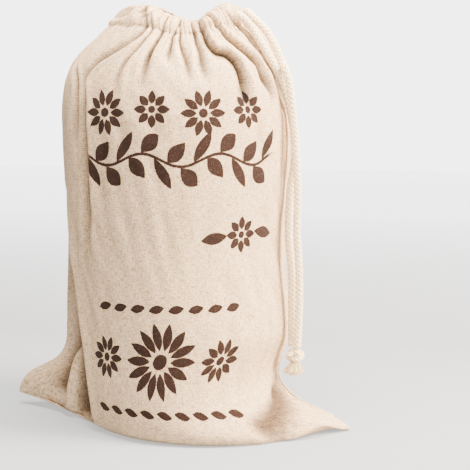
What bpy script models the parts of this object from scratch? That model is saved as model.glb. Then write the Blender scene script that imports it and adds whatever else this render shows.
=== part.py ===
"""A filled linen bread bag, drawn up at the mouth by a braided cotton cord.

Two cut panels are sewn together along the sides and the bottom. The bottom seam runs under the bag from
ear to ear. Both free ends of the drawstring leave the casing at the right seam, hang over the shoulder,
and end in one overhand knot with a frayed tassel. Sizes in the tables are in millimetres.
"""

import math

import bmesh
import bpy
import numpy as np
from mathutils import Matrix, Vector

MM = 0.001

# The frame's origin: the middle of the two panels' box, on the ground
ORIGIN = (-1.0, -7.75, 0.0)

# Cloth
FLAT_WIDTH = 305.0
CLOTH_THICKNESS = 1.2
CASING_THICKNESS = 1.8
PIECE_GAP = 0.3

# Mesh steps
SEAM_STOPS = (0.0, 0.012, 0.030)
WIDE_COLUMNS = 25
FINE_PER_WIDE = 3
BASE_STEPS = (0.0, 0.14, 0.38, 0.64, 0.86)
WALL_ROWS = 16
WALL_ROW_POWER = 1.35
GATHER_ROWS = 10
CASING_ROWS = 3
GATHER_START = 246.0
RIM_HEIGHT = 351.0
TURN_STEP = 0.01
SHARP_ANGLE = 50.0
INNER_FLOOR = 0.96

# The seams' plane turns from the ears' direction at the ground to the body's own above
EAR_SEAM_SHIFT = -16.0
EAR_SEAM_LEAN = -0.147
BODY_SEAM_SHIFT = -2.0
SEAM_TURN_HEIGHT = 62.0
ROUNDNESS = 0.94

# Horizontal sections, from the ground up: how far the body reaches to each side, and the places of the
# two side seams, with how sharply the cloth runs out to them
SECTION_COLUMNS = (
    "height", "left", "right", "front", "back",
    "left_seam", "left_seam_height", "right_seam", "right_seam_height", "left_sharp", "right_sharp",
)
SECTIONS = (
    (0, 76, 88, 106, 92, 151.5, 10, 149.5, 0.9, 0.20, 0.80),
    (3, 78, 89, 111, 97, 150.5, 15, 146.5, 3.2, 0.20, 0.78),
    (9, 79, 86, 113, 99, 147, 22, 137, 9.5, 0.20, 0.66),
    (20, 80, 82, 112, 99, 139, 30, 116, 16.5, 0.20, 0.50),
    (32, 82, 79, 110, 98, 126, 37, 98, 25, 0.19, 0.34),
    (45, 84, 79, 108, 97, 113, 45, 88, 36, 0.17, 0.22),
    (58, 86, 83, 106, 96, 105.5, 56, 87, 47, 0.14, 0.14),
    (75, 88, 91, 104.5, 95, 103.5, 74, 93.6, 70, 0.12, 0.08),
    (95, 89.5, 91.5, 103, 94, 103, 95, 93.5, 94, 0.10, 0.06),
    (120, 91, 86.5, 101, 93, 102, 120, 88.5, 120, 0.09, 0.05),
    (150, 94, 84.5, 99, 92, 101, 150, 86.5, 150, 0.07, 0.05),
    (180, 97, 86.5, 98, 91, 101, 180, 88.5, 180, 0.06, 0.05),
    (210, 98.5, 90.5, 97, 90, 101.5, 210, 92.5, 210, 0.05, 0.05),
    (245, 100, 92.5, 94.5, 88.5, 102.5, 245, 94.5, 245, 0.05, 0.05),
    (270, 99.5, 91, 90.5, 85, 101.5, 270, 93, 270, 0.05, 0.05),
    (288, 96.5, 87.5, 84.5, 79.5, 98, 288, 89, 288, 0.05, 0.05),
    (302, 91, 82.5, 77, 72.5, 92.5, 302, 84, 302, 0.05, 0.05),
    (314, 82, 76.5, 68, 64.5, 83.5, 314, 78, 314, 0.05, 0.05),
    (324, 72, 70, 59.5, 56.5, 73.5, 324, 71, 324, 0.05, 0.05),
    (333, 62, 62.5, 52, 49.5, 63, 333, 63.5, 333, 0.05, 0.05),
    (341, 56, 55, 46.5, 43.5, 57, 341, 56, 341, 0.05, 0.05),
    (347, 50, 49, 41.5, 38.5, 51, 347, 50, 347, 0.05, 0.05),
    (351, 43, 43, 36, 33, 44, 351, 44, 351, 0.05, 0.05),
)

# The drawn rim is high at both sides and dips between them
RIM_COLUMNS = ("across", "front_height", "back_height")
RIM = (
    (-70, 344, 347),
    (-45, 350, 350),
    (-30, 351, 350),
    (-18, 349, 346),
    (-6, 343, 340),
    (6, 338.5, 336),
    (22, 338, 336),
    (29, 344, 339),
    (38, 350, 344),
    (48, 351, 349),
    (75, 347, 348),
)
RIM_REACH = 66.0
RIM_CURVE = 1.6

# The gathers' valleys on the front: how far across the flat cloth each one runs at five heights, how deep
# and wide it is, the ridges on its two sides, and the height at which it has faded out
FOLD_LEVELS = (285.0, 300.0, 315.0, 330.0, 345.0)
FOLD_COLUMNS = (
    "at_285", "at_300", "at_315", "at_330", "at_345", "depth", "width", "left_ridge", "right_ridge", "end",
)
FRONT_FOLDS = (
    (11, 12, 13, 13, 13, 2.2, 4.5, 0.4, 0.6, 270),
    (25, 27, 30, 34, 37, 3.4, 5.0, 0.7, 1.0, 248),
    (43, 47, 53, 60, 64, 3.0, 5.0, 0.7, 0.7, 258),
    (66, 80, 101, 112, 99, 4.4, 5.5, 0.9, 1.5, 262),
    (125, 125, 124, 121, 118, 2.0, 4.0, 0.3, 0.3, 310),
    (136, 137, 137, 141, 146, 5.0, 5.5, 2.2, 0.8, 264),
    (158, 158, 157, 157, 160, 3.2, 4.0, 0.4, 0.6, 286),
    (178, 177, 173, 167, 168, 3.0, 4.0, 0.6, 0.5, 280),
    (195, 193, 188, 182, 183, 3.4, 5.0, 0.6, 0.5, 276),
    (232, 226, 206, 194, 194, 5.6, 5.5, 0.4, 2.6, 252),
    (262, 251, 234, 217, 214, 5.2, 5.5, 0.9, 1.9, 248),
    (280, 267, 257, 247, 236, 3.6, 5.5, 0.7, 0.9, 248),
    (288, 281, 275, 269, 263, 2.6, 5.0, 0.7, 0.6, 256),
    (295, 293, 290, 288, 286, 1.8, 4.5, 0.5, 0.3, 272),
)
FOLD_FADE = 34.0
FOLD_SPREAD = 0.55

# The gathers on the back follow one rule: spread evenly, each pushed aside and deepened a little
BACK_FOLD_COUNT = 13
BACK_FOLD_MARGIN = 15.0
BACK_FOLD_SWAY = 4.5
BACK_FOLD_DRIFT = 7.0
BACK_FOLD_DRIFT_POWER = 1.4
BACK_FOLD_DEPTH = 3.1
BACK_FOLD_DEPTH_CHANGE = 1.0
BACK_FOLD_WIDTH = 5.0
BACK_FOLD_WIDTH_CHANGE = 0.8
BACK_FOLD_RIDGE = 1.0
BACK_FOLD_RIDGE_CHANGE = 0.4
BACK_FOLD_RIGHT_RIDGE = 0.8
BACK_FOLD_END = 268.0
BACK_FOLD_END_CHANGE = 16.0

# A fold's two ridges: how far they are from its valley, and how wide, in valley widths
RIDGE_OFFSET = 1.9
RIDGE_WIDTH = 1.2
STEEPEST_FOLD = 2.0

# Fuller cloth between the valleys, by height
SWELL_COLUMNS = ("height", "swell")
SWELLS = ((248, 0.0), (280, 0.3), (300, 0.6), (320, 0.9), (340, 1.2), (351, 1.0))

# The casing is a soft roll over its stitch line, and steps back at the left of the front
CASING_STITCH_HEIGHT = 334.0
CASING_STITCH_DEPTH = 1.0
CASING_ROLL_HEIGHT = 342.0
CASING_ROLL = 1.1
CASING_BAND = 4.5
LEDGE_STEP = 4.0
LEDGE_START = 337.0
LEDGE_TOP = 343.0
LEDGE_FADE = 78.0
LEDGE_END = 92.0

# Folds of the lower front, beside the ears: how far across the flat cloth each one runs at six heights, how
# far it stands out or in, its widths to the left and right, and the heights between which it fades out.
# The front's left side laps over a deep fold, with a ridge and a second fold between that and the ear.
LOW_LEVELS = (5.0, 30.0, 55.0, 85.0, 120.0, 160.0)
LOW_COLUMNS = (
    "at_5", "at_30", "at_55", "at_85", "at_120", "at_160", "push", "left_width", "right_width", "fade", "top",
)
LOW_FOLDS = (
    (19, 17, 16, 36, 40, 40, -6.0, 6.0, 7.0, 60, 94),
    (27, 27, 28, 45, 45, 45, 4.0, 6.0, 7.0, 40, 74),
    (60, 61, 59, 53, 43, 36, -8.0, 14.0, 8.0, 120, 200),
    (74, 75, 73, 68, 58, 50, 2.5, 6.0, 9.0, 120, 200),
    (232, 288, 296, 296, 296, 296, -3.0, 11.0, 11.0, 20, 42),
)
LOW_FOLD_TOP = 200.0

# Folds on the shoulder stand off along this much rise, and none reaches a side seam
SHOULDER_LEAN = 0.7
SHOULDER_START = 290.0
SEAM_MARGIN = 9.0

# The right ear lies in front of the back panel, which keeps closer to the body. The ear's front edge is off
# the ground in a small arch, and the left ear's tip is raised.
BACK_EAR_SHARE = 0.55
ARCH_LIFT = 8.0
ARCH_CENTRE = 0.30
ARCH_WIDTH = 0.17
ARCH_FADE_HEIGHT = 16.0
LIFTED_EAR_LENGTH = 52.0

# Cord
CORD_DIAMETER = 6.4
CORD_STEP = 15.0
CORD_SIDES_RESOLUTION = 2
STRAND_A_ROUTE = (
    (52.3, -32.0, 343.1),
    (57.6, -31.5, 340.5),
    (62.2, -30.5, 335.8),
    (71.3, -31.0, 322.4),
    (79.6, -29.5, 308.3),
    (83.5, -27.3, 301.1),
    (86.6, -22.9, 293.7),
    (89.5, -20.7, 286.4),
    (95.5, -18.5, 264.5),
    (99.9, -18.0, 230.5),
    (96.1, -18.0, 196.1),
    (94.7, -18.5, 161.7),
    (97.6, -19.5, 129.7),
    (98.3, -21.0, 95.9),
    (98.6, -22.3, 66.4),
)
STRAND_B_ROUTE = (
    (57.7, -19.5, 347.0),
    (62.3, -18.5, 342.3),
    (73.2, -19.5, 332.4),
    (82.1, -21.5, 319.3),
    (89.4, -24.0, 303.7),
    (93.0, -26.9, 296.9),
    (95.2, -27.7, 289.7),
    (98.7, -27.0, 264.9),
    (101.7, -26.5, 231.1),
    (103.3, -26.0, 197.0),
    (102.9, -26.0, 162.8),
    (104.8, -26.5, 130.9),
    (105.0, -27.2, 97.2),
    (104.0, -28.4, 66.4),
)

# Knot: both cords tied as one in an overhand knot, drawn tight
KNOT_CENTRE = (101.6, -26.3, 59.3)
KNOT_SIZE = (15.5, 12.5, 12.6)
KNOT_TURN_STEPS = 96
KNOT_TUBE_SIDES = 10
KNOT_TUBE_SHARE = 0.30
KNOT_CORE_SHARE = 0.75
KNOT_DEPTH = 1.6
KNOT_VOXEL = 0.95
KNOT_TILT = 20.0

# Tassel: the combed-out ends below the knot
TASSEL_CENTRE = (101.4, -27.6, 50.7)
TASSEL_HEAD = (12.0, 9.0, 5.4)
TASSEL_SEGMENTS = 14
TASSEL_RINGS = 9
LOCK_LENGTH = 9.5
LOCK_LENGTHS = (0.75, 1.1)
LOCK_EDGE_SHORTENING = 0.35
LOCK_STEPS = 3
LOCK_SPREAD = 0.48
LOCK_SPREADS = (0.7, 1.2)
LOCK_CURL = 0.16
LOCK_RISE = 0.06
LOCK_TAPER = 0.72
LOCK_PARTING = 0.16
LOCK_ROOT_SLOPE = 0.1
TASSEL_SEED = 4

# Finishes
LINEN_COLOUR = (0.60, 0.50, 0.40, 1.0)
LINEN_BACK_COLOUR = (0.56, 0.46, 0.36, 1.0)
CORD_COLOUR = (0.86, 0.80, 0.68, 1.0)
KNOT_COLOUR = (0.84, 0.77, 0.64, 1.0)
TASSEL_COLOUR = (0.88, 0.83, 0.72, 1.0)
FIBRE_ROUGHNESS = 0.9


def clear_scene():
    """Removes every object that is in the scene."""
    for item in list(bpy.data.objects):
        bpy.data.objects.remove(item, do_unlink=True)


def framed(point):
    """A point of the tables, in millimetres, as a place in the frame, in metres."""
    return Vector(float(value - start) * MM for value, start in zip(point, ORIGIN))


def column(table, names, name):
    """One named column of a table, as an array."""
    place = names.index(name)
    return np.array([row[place] for row in table], float)


def smooth_read(stops, values, where):
    """Reads a smooth curve through the values at the stops (a cubic with averaged slopes)."""
    stops = np.asarray(stops, float)
    values = np.asarray(values, float)
    where = np.clip(np.asarray(where, float), stops[0], stops[-1])
    steps = np.diff(stops)
    rises = np.diff(values) / steps
    slopes = np.empty_like(values)
    slopes[0] = rises[0]
    slopes[-1] = rises[-1]
    slopes[1:-1] = (rises[:-1] * steps[1:] + rises[1:] * steps[:-1]) / (steps[:-1] + steps[1:])
    cell = np.clip(np.searchsorted(stops, where, side="right") - 1, 0, len(steps) - 1)
    length = steps[cell]
    t = (where - stops[cell]) / length
    start = values[cell] * (2 * t**3 - 3 * t**2 + 1) + slopes[cell] * length * (t**3 - 2 * t**2 + t)
    end = values[cell + 1] * (3 * t**2 - 2 * t**3) + slopes[cell + 1] * length * (t**3 - t**2)
    return start + end


def ease(value, start, end):
    """0 at the start, 1 at the end, and smooth between them."""
    share = min(1.0, max(0.0, (value - start) / (end - start)))
    return share * share * (3 - 2 * share)


def bump(value, centre, width):
    """A soft bump of height 1 around a centre."""
    return math.exp(-(((value - centre) / width) ** 2))


def section_value(name, height):
    """A section column's value at a height."""
    stops = column(SECTIONS, SECTION_COLUMNS, "height")
    return smooth_read(stops, column(SECTIONS, SECTION_COLUMNS, name), height)


def seam_plane(across, height):
    """How far back the side seams' plane stands, at a place across the bag and a height."""
    near_ground = math.exp(-((height / SEAM_TURN_HEIGHT) ** 2))
    ear = EAR_SEAM_SHIFT + EAR_SEAM_LEAN * across
    return ear * near_ground + BODY_SEAM_SHIFT * (1 - near_ground)


def back_folds():
    """The back's gathers, as rows of the same columns as the front's."""
    rows = []
    spacing = (FLAT_WIDTH - 2 * BACK_FOLD_MARGIN) / (BACK_FOLD_COUNT - 1)
    steps = len(FOLD_LEVELS) - 1
    for number in range(BACK_FOLD_COUNT):
        top = BACK_FOLD_MARGIN + number * spacing + BACK_FOLD_SWAY * math.sin(2.3 * number + 0.8)
        drift = BACK_FOLD_DRIFT * math.sin(1.7 * number + 2.1)
        shares = [(step / steps) ** BACK_FOLD_DRIFT_POWER for step in range(steps, -1, -1)]
        places = [top + drift * share for share in shares]
        depth = BACK_FOLD_DEPTH + BACK_FOLD_DEPTH_CHANGE * math.sin(3.3 * number)
        width = BACK_FOLD_WIDTH + BACK_FOLD_WIDTH_CHANGE * math.sin(1.9 * number + 1.0)
        ridge = BACK_FOLD_RIDGE + BACK_FOLD_RIDGE_CHANGE * math.sin(2.9 * number + 0.5)
        end = BACK_FOLD_END + BACK_FOLD_END_CHANGE * math.sin(4.1 * number + 1.2)
        rows.append((*places, depth, width, ridge, BACK_FOLD_RIGHT_RIDGE * ridge, end))
    return tuple(rows)


FOLDS = {-1: FRONT_FOLDS, 1: back_folds()}


def valley(off, depth, left_ridge, right_ridge):
    """A fold's profile across its own width: one valley between two soft ridges."""
    shape = -depth * bump(off, 0.0, 1.0)
    shape += left_ridge * bump(off, -RIDGE_OFFSET, RIDGE_WIDTH)
    shape += right_ridge * bump(off, RIDGE_OFFSET, RIDGE_WIDTH)
    return shape


def gather_push(flat, height, side):
    """How far the gathers push the cloth out, at a place across the flat panel and a height."""
    swell_heights = column(SWELLS, SWELL_COLUMNS, "height")
    push = float(smooth_read(swell_heights, column(SWELLS, SWELL_COLUMNS, "swell"), height))
    levels = len(FOLD_LEVELS)
    spread = 1 + FOLD_SPREAD * (1 - ease(height, FOLD_LEVELS[0], FOLD_LEVELS[-1]))
    for row in FOLDS[side]:
        fold = dict(zip(FOLD_COLUMNS, row))
        place = smooth_read(FOLD_LEVELS, row[:levels], height)
        above = smooth_read(FOLD_LEVELS, row[:levels], height + 1)
        below = smooth_read(FOLD_LEVELS, row[:levels], height - 1)
        slope = min(STEEPEST_FOLD, abs(above - below) / 2)
        off = (flat - place) / math.hypot(1, slope) / (fold["width"] * spread)
        shape = valley(off, fold["depth"], fold["left_ridge"], fold["right_ridge"])
        push += shape * ease(height, fold["end"], fold["end"] + FOLD_FADE)
    push -= CASING_STITCH_DEPTH * bump(height, CASING_STITCH_HEIGHT, CASING_BAND)
    push += CASING_ROLL * bump(height, CASING_ROLL_HEIGHT, CASING_BAND)
    if side < 0:
        push -= LEDGE_STEP * ease(height, LEDGE_START, LEDGE_TOP) * (1 - ease(flat, LEDGE_FADE, LEDGE_END))
    return push


def low_push(flat, height):
    """How far the folds of the lower front push the cloth in or out."""
    push = 0.0
    for row in LOW_FOLDS:
        fold = dict(zip(LOW_COLUMNS, row))
        place = smooth_read(LOW_LEVELS, row[: len(LOW_LEVELS)], height)
        width = fold["left_width"] if flat < place else fold["right_width"]
        strength = 1 - ease(height, fold["fade"], fold["top"])
        push += fold["push"] * bump(flat, place, width) * strength
    return push


def wall_point(turn, height, side):
    """A point of the cloth's middle layer on the wall, without folds.

    turn runs from 0 at the left seam to pi at the right seam, and side is -1 on the front and 1 on the
    back.
    """
    to_right = math.pi - turn
    left = section_value("left", height)
    right = section_value("right", height)
    left_pull = math.exp(-turn / section_value("left_sharp", height))
    right_sharp = section_value("right_sharp", height) * (BACK_EAR_SHARE if side > 0 else 1.0)
    right_pull = math.exp(-to_right / right_sharp)
    left_reach = section_value("left_seam", height) - left
    right_reach = section_value("right_seam", height) - right
    centre = (right - left) / 2
    half = (right + left) / 2
    across = centre - half * math.cos(turn) - left_reach * left_pull + right_reach * right_pull

    plane = seam_plane(across, height)
    room = CLOTH_THICKNESS / 2 + PIECE_GAP / 2
    depth = section_value("front" if side < 0 else "back", height) - side * seam_plane(centre, height)
    back = plane + side * (room + (depth - room) * math.sin(turn) ** ROUNDNESS)

    up = height
    up += (section_value("left_seam_height", height) - height) * left_pull
    up += (section_value("right_seam_height", height) - height) * right_pull
    if side < 0:
        arch = bump(to_right, ARCH_CENTRE, ARCH_WIDTH)
        up += ARCH_LIFT * arch * math.exp(-height / ARCH_FADE_HEIGHT)
    rim_name = "front_height" if side < 0 else "back_height"
    rim = smooth_read(column(RIM, RIM_COLUMNS, "across"), column(RIM, RIM_COLUMNS, rim_name), across)
    near_rim = max(0.0, 1 - (RIM_HEIGHT - height) / RIM_REACH) ** RIM_CURVE
    up += (rim - RIM_HEIGHT) * near_rim
    return Vector((across, back, up))


def cloth_point(turn, height, side):
    """A wall point with its folds, which stand square to the wall's course round the bag."""
    point = wall_point(turn, height, side)
    flat = turn / math.pi * FLAT_WIDTH
    push = 0.0
    if height > GATHER_START:
        push += gather_push(flat, height, side)
    if side < 0 and height < LOW_FOLD_TOP:
        push += low_push(flat, height)
    push *= ease(min(flat, FLAT_WIDTH - flat), 0.0, SEAM_MARGIN)
    if push == 0.0:
        return point
    before = wall_point(max(turn - TURN_STEP, 0.0), height, side)
    after = wall_point(min(turn + TURN_STEP, math.pi), height, side)
    along = after - before
    out = Vector((along.y, -along.x, 0.0)).normalized() * -side
    lean = SHOULDER_LEAN * ease(height, SHOULDER_START, RIM_HEIGHT)
    return point + (out + Vector((0, 0, lean))).normalized() * push


def base_point(turn, share, side):
    """A point of the middle layer under the bag: share is 0 at the bottom seam and 1 at the edge."""
    edge = cloth_point(turn, 0.0, side)
    left_tip = -section_value("left_seam", 0.0)
    right_tip = section_value("right_seam", 0.0)
    across = left_tip + (right_tip - left_tip) * math.sin(turn / 2) ** 2
    near_tip = ease(-across, -left_tip - LIFTED_EAR_LENGTH, -left_tip)
    lift = section_value("left_seam_height", 0.0) * near_tip
    seam = Vector((across, seam_plane(across, 0.0) + side * PIECE_GAP / 2, lift))
    return seam.lerp(edge, share)


def wide_columns():
    """Where the wide columns stand, as turns from the left seam to the right seam."""
    near = np.array(SEAM_STOPS)
    middle = np.linspace(2 * near[-1], 1 - 2 * near[-1], WIDE_COLUMNS)
    return np.concatenate([near, middle, (1 - near)[::-1]]) * math.pi


def fine_columns(wide):
    """The gathered cloth's columns, several to each wide column."""
    cells = zip(wide[:-1], wide[1:])
    parts = range(FINE_PER_WIDE)
    fine = [start + (end - start) * part / FINE_PER_WIDE for start, end in cells for part in parts]
    return np.array(fine + [wide[-1]])


def panel_rows(side):
    """The middle layer's rows of points, from the bottom seam to the rim."""
    wide = wide_columns()
    fine = fine_columns(wide)
    wall_heights = GATHER_START * np.linspace(0.0, 1.0, WALL_ROWS) ** WALL_ROW_POWER
    gather_heights = np.linspace(GATHER_START, RIM_HEIGHT, GATHER_ROWS + 1)[1:]
    rows = [[base_point(turn, share, side) for turn in wide] for share in BASE_STEPS]
    rows += [[cloth_point(turn, height, side) for turn in wide] for height in wall_heights]
    rows += [[cloth_point(turn, height, side) for turn in fine] for height in gather_heights]
    return rows


def row_faces(lower, upper):
    """Faces between two rows, as indices. A finer row above is met by a strip of triangles."""
    if len(lower) == len(upper):
        cells = range(len(lower) - 1)
        return [(lower[i], lower[i + 1], upper[i + 1], upper[i]) for i in cells]
    faces = []
    middle = FINE_PER_WIDE // 2
    for i in range(len(lower) - 1):
        above = upper[i * FINE_PER_WIDE : (i + 1) * FINE_PER_WIDE + 1]
        for j in range(middle):
            faces.append((lower[i], above[j + 1], above[j]))
        faces.append((lower[i], lower[i + 1], above[middle + 1], above[middle]))
        for j in range(middle + 1, FINE_PER_WIDE):
            faces.append((lower[i + 1], above[j + 1], above[j]))
    return faces


def middle_normals(points, faces, side):
    """The middle layer's normals, facing out of the bag."""
    total = np.zeros_like(points)
    for face in faces:
        corners = points[list(face)]
        normal = np.cross(corners[1] - corners[0], corners[2] - corners[0])
        total[list(face)] += normal
    total *= -side
    return total / np.linalg.norm(total, axis=1)[:, None]


def link_mesh(name, build, material):
    """Makes an object of a finished bmesh, smooth but for its sharp edges."""
    mesh = bpy.data.meshes.new(name)
    bmesh.ops.recalc_face_normals(build, faces=build.faces)
    build.to_mesh(mesh)
    build.free()
    mesh.shade_smooth()
    mesh.set_sharp_from_angle(angle=math.radians(SHARP_ANGLE))
    mesh.materials.append(material)
    item = bpy.data.objects.new(name, mesh)
    bpy.context.scene.collection.objects.link(item)
    return item


def build_panel(name, side, material):
    """One panel as a closed sheet: an outer and an inner layer, joined round all four edges."""
    rows = panel_rows(side)
    index = []
    count = 0
    for row in rows:
        index.append(list(range(count, count + len(row))))
        count += len(row)
    points = np.array([point for row in rows for point in row])
    points[:, 2] += CLOTH_THICKNESS / 2
    faces = [face for lower, upper in zip(index[:-1], index[1:]) for face in row_faces(lower, upper)]
    normals = middle_normals(points, faces, side)

    # At the side seams the two panels lie flat against each other, and at the bottom seam edge to edge.
    for number, row in enumerate(index):
        turn = min(1.0, number / len(BASE_STEPS)) * math.pi / 2
        for end in (row[0], row[-1]):
            normals[end] = (0.0, side * math.sin(turn), -math.cos(turn))
    normals[index[0][1:-1]] = (0.0, 0.0, -1.0)

    thickness = np.full((count, 1), CLOTH_THICKNESS)
    for row in index[-CASING_ROWS:]:
        thickness[row] = CASING_THICKNESS
    outer = points + normals * thickness / 2
    inner = points - normals * thickness / 2

    # Neither layer crosses the seams' plane or the ground.
    for layer, floor in ((outer, 0.0), (inner, INNER_FLOOR)):
        plane = np.array([seam_plane(point[0], point[2]) for point in layer])
        layer[:, 1] = plane + side * np.maximum(side * (layer[:, 1] - plane), PIECE_GAP / 2)
        layer[:, 2] = np.maximum(layer[:, 2], floor)

    build = bmesh.new()
    outer_verts = [build.verts.new(framed(point)) for point in outer]
    inner_verts = [build.verts.new(framed(point)) for point in inner]
    for face in faces:
        build.faces.new([outer_verts[i] for i in face])
        build.faces.new([inner_verts[i] for i in reversed(face)])
    left_edge = [row[0] for row in index]
    right_edge = [row[-1] for row in index]
    border = index[0] + right_edge[1:] + index[-1][-2::-1] + left_edge[-2:0:-1]
    for start, end in zip(border, border[1:] + border[:1]):
        build.faces.new([outer_verts[end], outer_verts[start], inner_verts[start], inner_verts[end]])
    return link_mesh(name, build, material)


def cord_points(route):
    """Points every few diameters along a smooth curve through a route."""
    route = np.array(route, float)
    chords = np.linalg.norm(np.diff(route, axis=0), axis=1)
    stops = np.concatenate([[0.0], np.cumsum(chords)])
    dense = np.linspace(0.0, stops[-1], 600)
    curve = np.stack([smooth_read(stops, route[:, axis], dense) for axis in range(3)], axis=1)
    lengths = np.concatenate([[0.0], np.cumsum(np.linalg.norm(np.diff(curve, axis=0), axis=1))])
    places = np.linspace(0.0, lengths[-1], round(lengths[-1] / CORD_STEP) + 1)
    return np.stack([np.interp(places, lengths, curve[:, axis]) for axis in range(3)], axis=1)


def build_strand(name, route, material):
    """One free strand of the drawstring, as a plain tube."""
    curve = bpy.data.curves.new(name, "CURVE")
    curve.dimensions = "3D"
    curve.bevel_depth = CORD_DIAMETER / 2 * MM
    curve.bevel_resolution = CORD_SIDES_RESOLUTION
    curve.use_fill_caps = True
    points = [framed(point) for point in cord_points(route)]
    spline = curve.splines.new("POLY")
    spline.points.add(len(points) - 1)
    for spline_point, point in zip(spline.points, points):
        spline_point.co = (*point, 1.0)
    curve.materials.append(material)
    strand = bpy.data.objects.new(name, curve)
    bpy.context.scene.collection.objects.link(strand)
    return strand


def knot_path(share):
    """The tight overhand knot's path: a trefoil, flattened to the knot's own size."""
    angle = 2 * math.pi * share
    reach = 2 + math.cos(3 * angle)
    depth = KNOT_DEPTH * math.sin(3 * angle)
    return Vector((reach * math.cos(2 * angle), depth, reach * math.sin(2 * angle))) / 3


def build_knot(name, material):
    """The overhand knot: one closed tube along its path round a core, fused and drawn tight."""
    build = bmesh.new()
    rings = []
    for step in range(KNOT_TURN_STEPS):
        here = knot_path(step / KNOT_TURN_STEPS)
        ahead = (knot_path((step + 1) / KNOT_TURN_STEPS) - here).normalized()
        side = ahead.cross(here).normalized()
        up = side.cross(ahead)
        ring = []
        for corner in range(KNOT_TUBE_SIDES):
            angle = 2 * math.pi * corner / KNOT_TUBE_SIDES
            out = side * math.cos(angle) + up * math.sin(angle)
            ring.append(build.verts.new(here + out * KNOT_TUBE_SHARE))
        rings.append(ring)
    for ring, after in zip(rings, rings[1:] + rings[:1]):
        for corner in range(KNOT_TUBE_SIDES):
            following = (corner + 1) % KNOT_TUBE_SIDES
            build.faces.new([ring[corner], ring[following], after[following], after[corner]])
    bmesh.ops.create_icosphere(build, subdivisions=2, radius=KNOT_CORE_SHARE)
    tilt = Matrix.Rotation(math.radians(KNOT_TILT), 4, "Y")
    bmesh.ops.transform(build, matrix=tilt, verts=build.verts)
    for axis in range(3):
        places = [vert.co[axis] for vert in build.verts]
        middle = (max(places) + min(places)) / 2
        stretch = KNOT_SIZE[axis] / (max(places) - min(places))
        for vert in build.verts:
            vert.co[axis] = (vert.co[axis] - middle) * stretch + KNOT_CENTRE[axis]
    for vert in build.verts:
        vert.co = framed(vert.co)
    knot = link_mesh(name, build, material)
    fuse = knot.modifiers.new("fuse", "REMESH")
    fuse.mode = "VOXEL"
    fuse.voxel_size = KNOT_VOXEL * MM
    fuse.use_smooth_shade = True
    return knot


def build_tassel(name, material):
    """The tassel: a small round head, with a four-sided lock of yarn grown from each of its lower faces."""
    draws = np.random.default_rng(TASSEL_SEED)
    build = bmesh.new()
    bmesh.ops.create_uvsphere(build, u_segments=TASSEL_SEGMENTS, v_segments=TASSEL_RINGS, radius=0.5)
    for vert in build.verts:
        vert.co = Vector(vert.co[axis] * TASSEL_HEAD[axis] for axis in range(3))
    build.normal_update()
    roots = [face for face in build.faces if face.normal.z < LOCK_ROOT_SLOPE and len(face.verts) == 4]
    bmesh.ops.inset_individual(build, faces=roots, thickness=LOCK_PARTING)
    for root in roots:
        centre = root.calc_center_median()
        outward = Vector((centre.x, centre.y, 0)) / (TASSEL_HEAD[0] / 2)
        lean = outward * LOCK_SPREAD * draws.uniform(*LOCK_SPREADS)
        way = (Vector((0, 0, -1)) + lean).normalized()
        length = LOCK_LENGTH * draws.uniform(*LOCK_LENGTHS) * (1 - LOCK_EDGE_SHORTENING * outward.length)
        tip = root
        for _ in range(LOCK_STEPS):
            tip = bmesh.ops.extrude_discrete_faces(build, faces=[tip])["faces"][0]
            middle = tip.calc_center_median()
            way = (way + outward * LOCK_CURL + Vector((0, 0, LOCK_RISE))).normalized()
            for vert in tip.verts:
                vert.co = middle + (vert.co - middle) * LOCK_TAPER + way * length / LOCK_STEPS
    for vert in build.verts:
        vert.co = framed(vert.co + Vector(TASSEL_CENTRE))
    return link_mesh(name, build, material)


def make_material(name, colour):
    """A plain rough fibre finish."""
    material = bpy.data.materials.new(name)
    material.use_nodes = True
    shader = material.node_tree.nodes["Principled BSDF"]
    shader.inputs["Base Color"].default_value = colour
    shader.inputs["Roughness"].default_value = FIBRE_ROUGHNESS
    shader.inputs["Metallic"].default_value = 0.0
    return material


clear_scene()
build_panel("front_panel", -1, make_material("linen front", LINEN_COLOUR))
build_panel("back_panel", 1, make_material("linen back", LINEN_BACK_COLOUR))
cord_material = make_material("braided cotton cord", CORD_COLOUR)
build_strand("drawstring_strand_a", STRAND_A_ROUTE, cord_material)
build_strand("drawstring_strand_b", STRAND_B_ROUTE, cord_material)
build_knot("drawstring_knot", make_material("knotted cotton cord", KNOT_COLOUR))
build_tassel("drawstring_tassel", make_material("frayed cotton yarn", TASSEL_COLOUR))
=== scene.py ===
"""Looks of a filled linen bread bag: plain-woven cloth, a gathered casing, and a braided drawstring."""

from __future__ import annotations

import logging
import math
from dataclasses import dataclass
from enum import Enum

import bpy
import numpy as np
from mathutils import Matrix, Vector


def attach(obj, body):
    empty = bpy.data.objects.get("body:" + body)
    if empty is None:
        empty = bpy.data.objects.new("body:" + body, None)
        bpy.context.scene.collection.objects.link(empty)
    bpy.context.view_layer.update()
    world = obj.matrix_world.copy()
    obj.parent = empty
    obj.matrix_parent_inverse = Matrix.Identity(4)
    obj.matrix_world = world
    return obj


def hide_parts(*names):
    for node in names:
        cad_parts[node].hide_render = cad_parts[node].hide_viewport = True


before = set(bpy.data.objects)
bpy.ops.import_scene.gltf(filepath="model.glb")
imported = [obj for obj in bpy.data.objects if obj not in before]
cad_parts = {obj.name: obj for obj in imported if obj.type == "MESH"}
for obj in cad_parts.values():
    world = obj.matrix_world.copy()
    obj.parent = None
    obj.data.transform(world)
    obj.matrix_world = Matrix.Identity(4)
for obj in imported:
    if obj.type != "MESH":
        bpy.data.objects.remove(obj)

log = logging.getLogger("bread_bag")

MM = 0.001

Tree = bpy.types.NodeTree
Socket = bpy.types.NodeSocket
Numbers = np.ndarray | float | list | tuple
Place = tuple[float, float, float]

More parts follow.
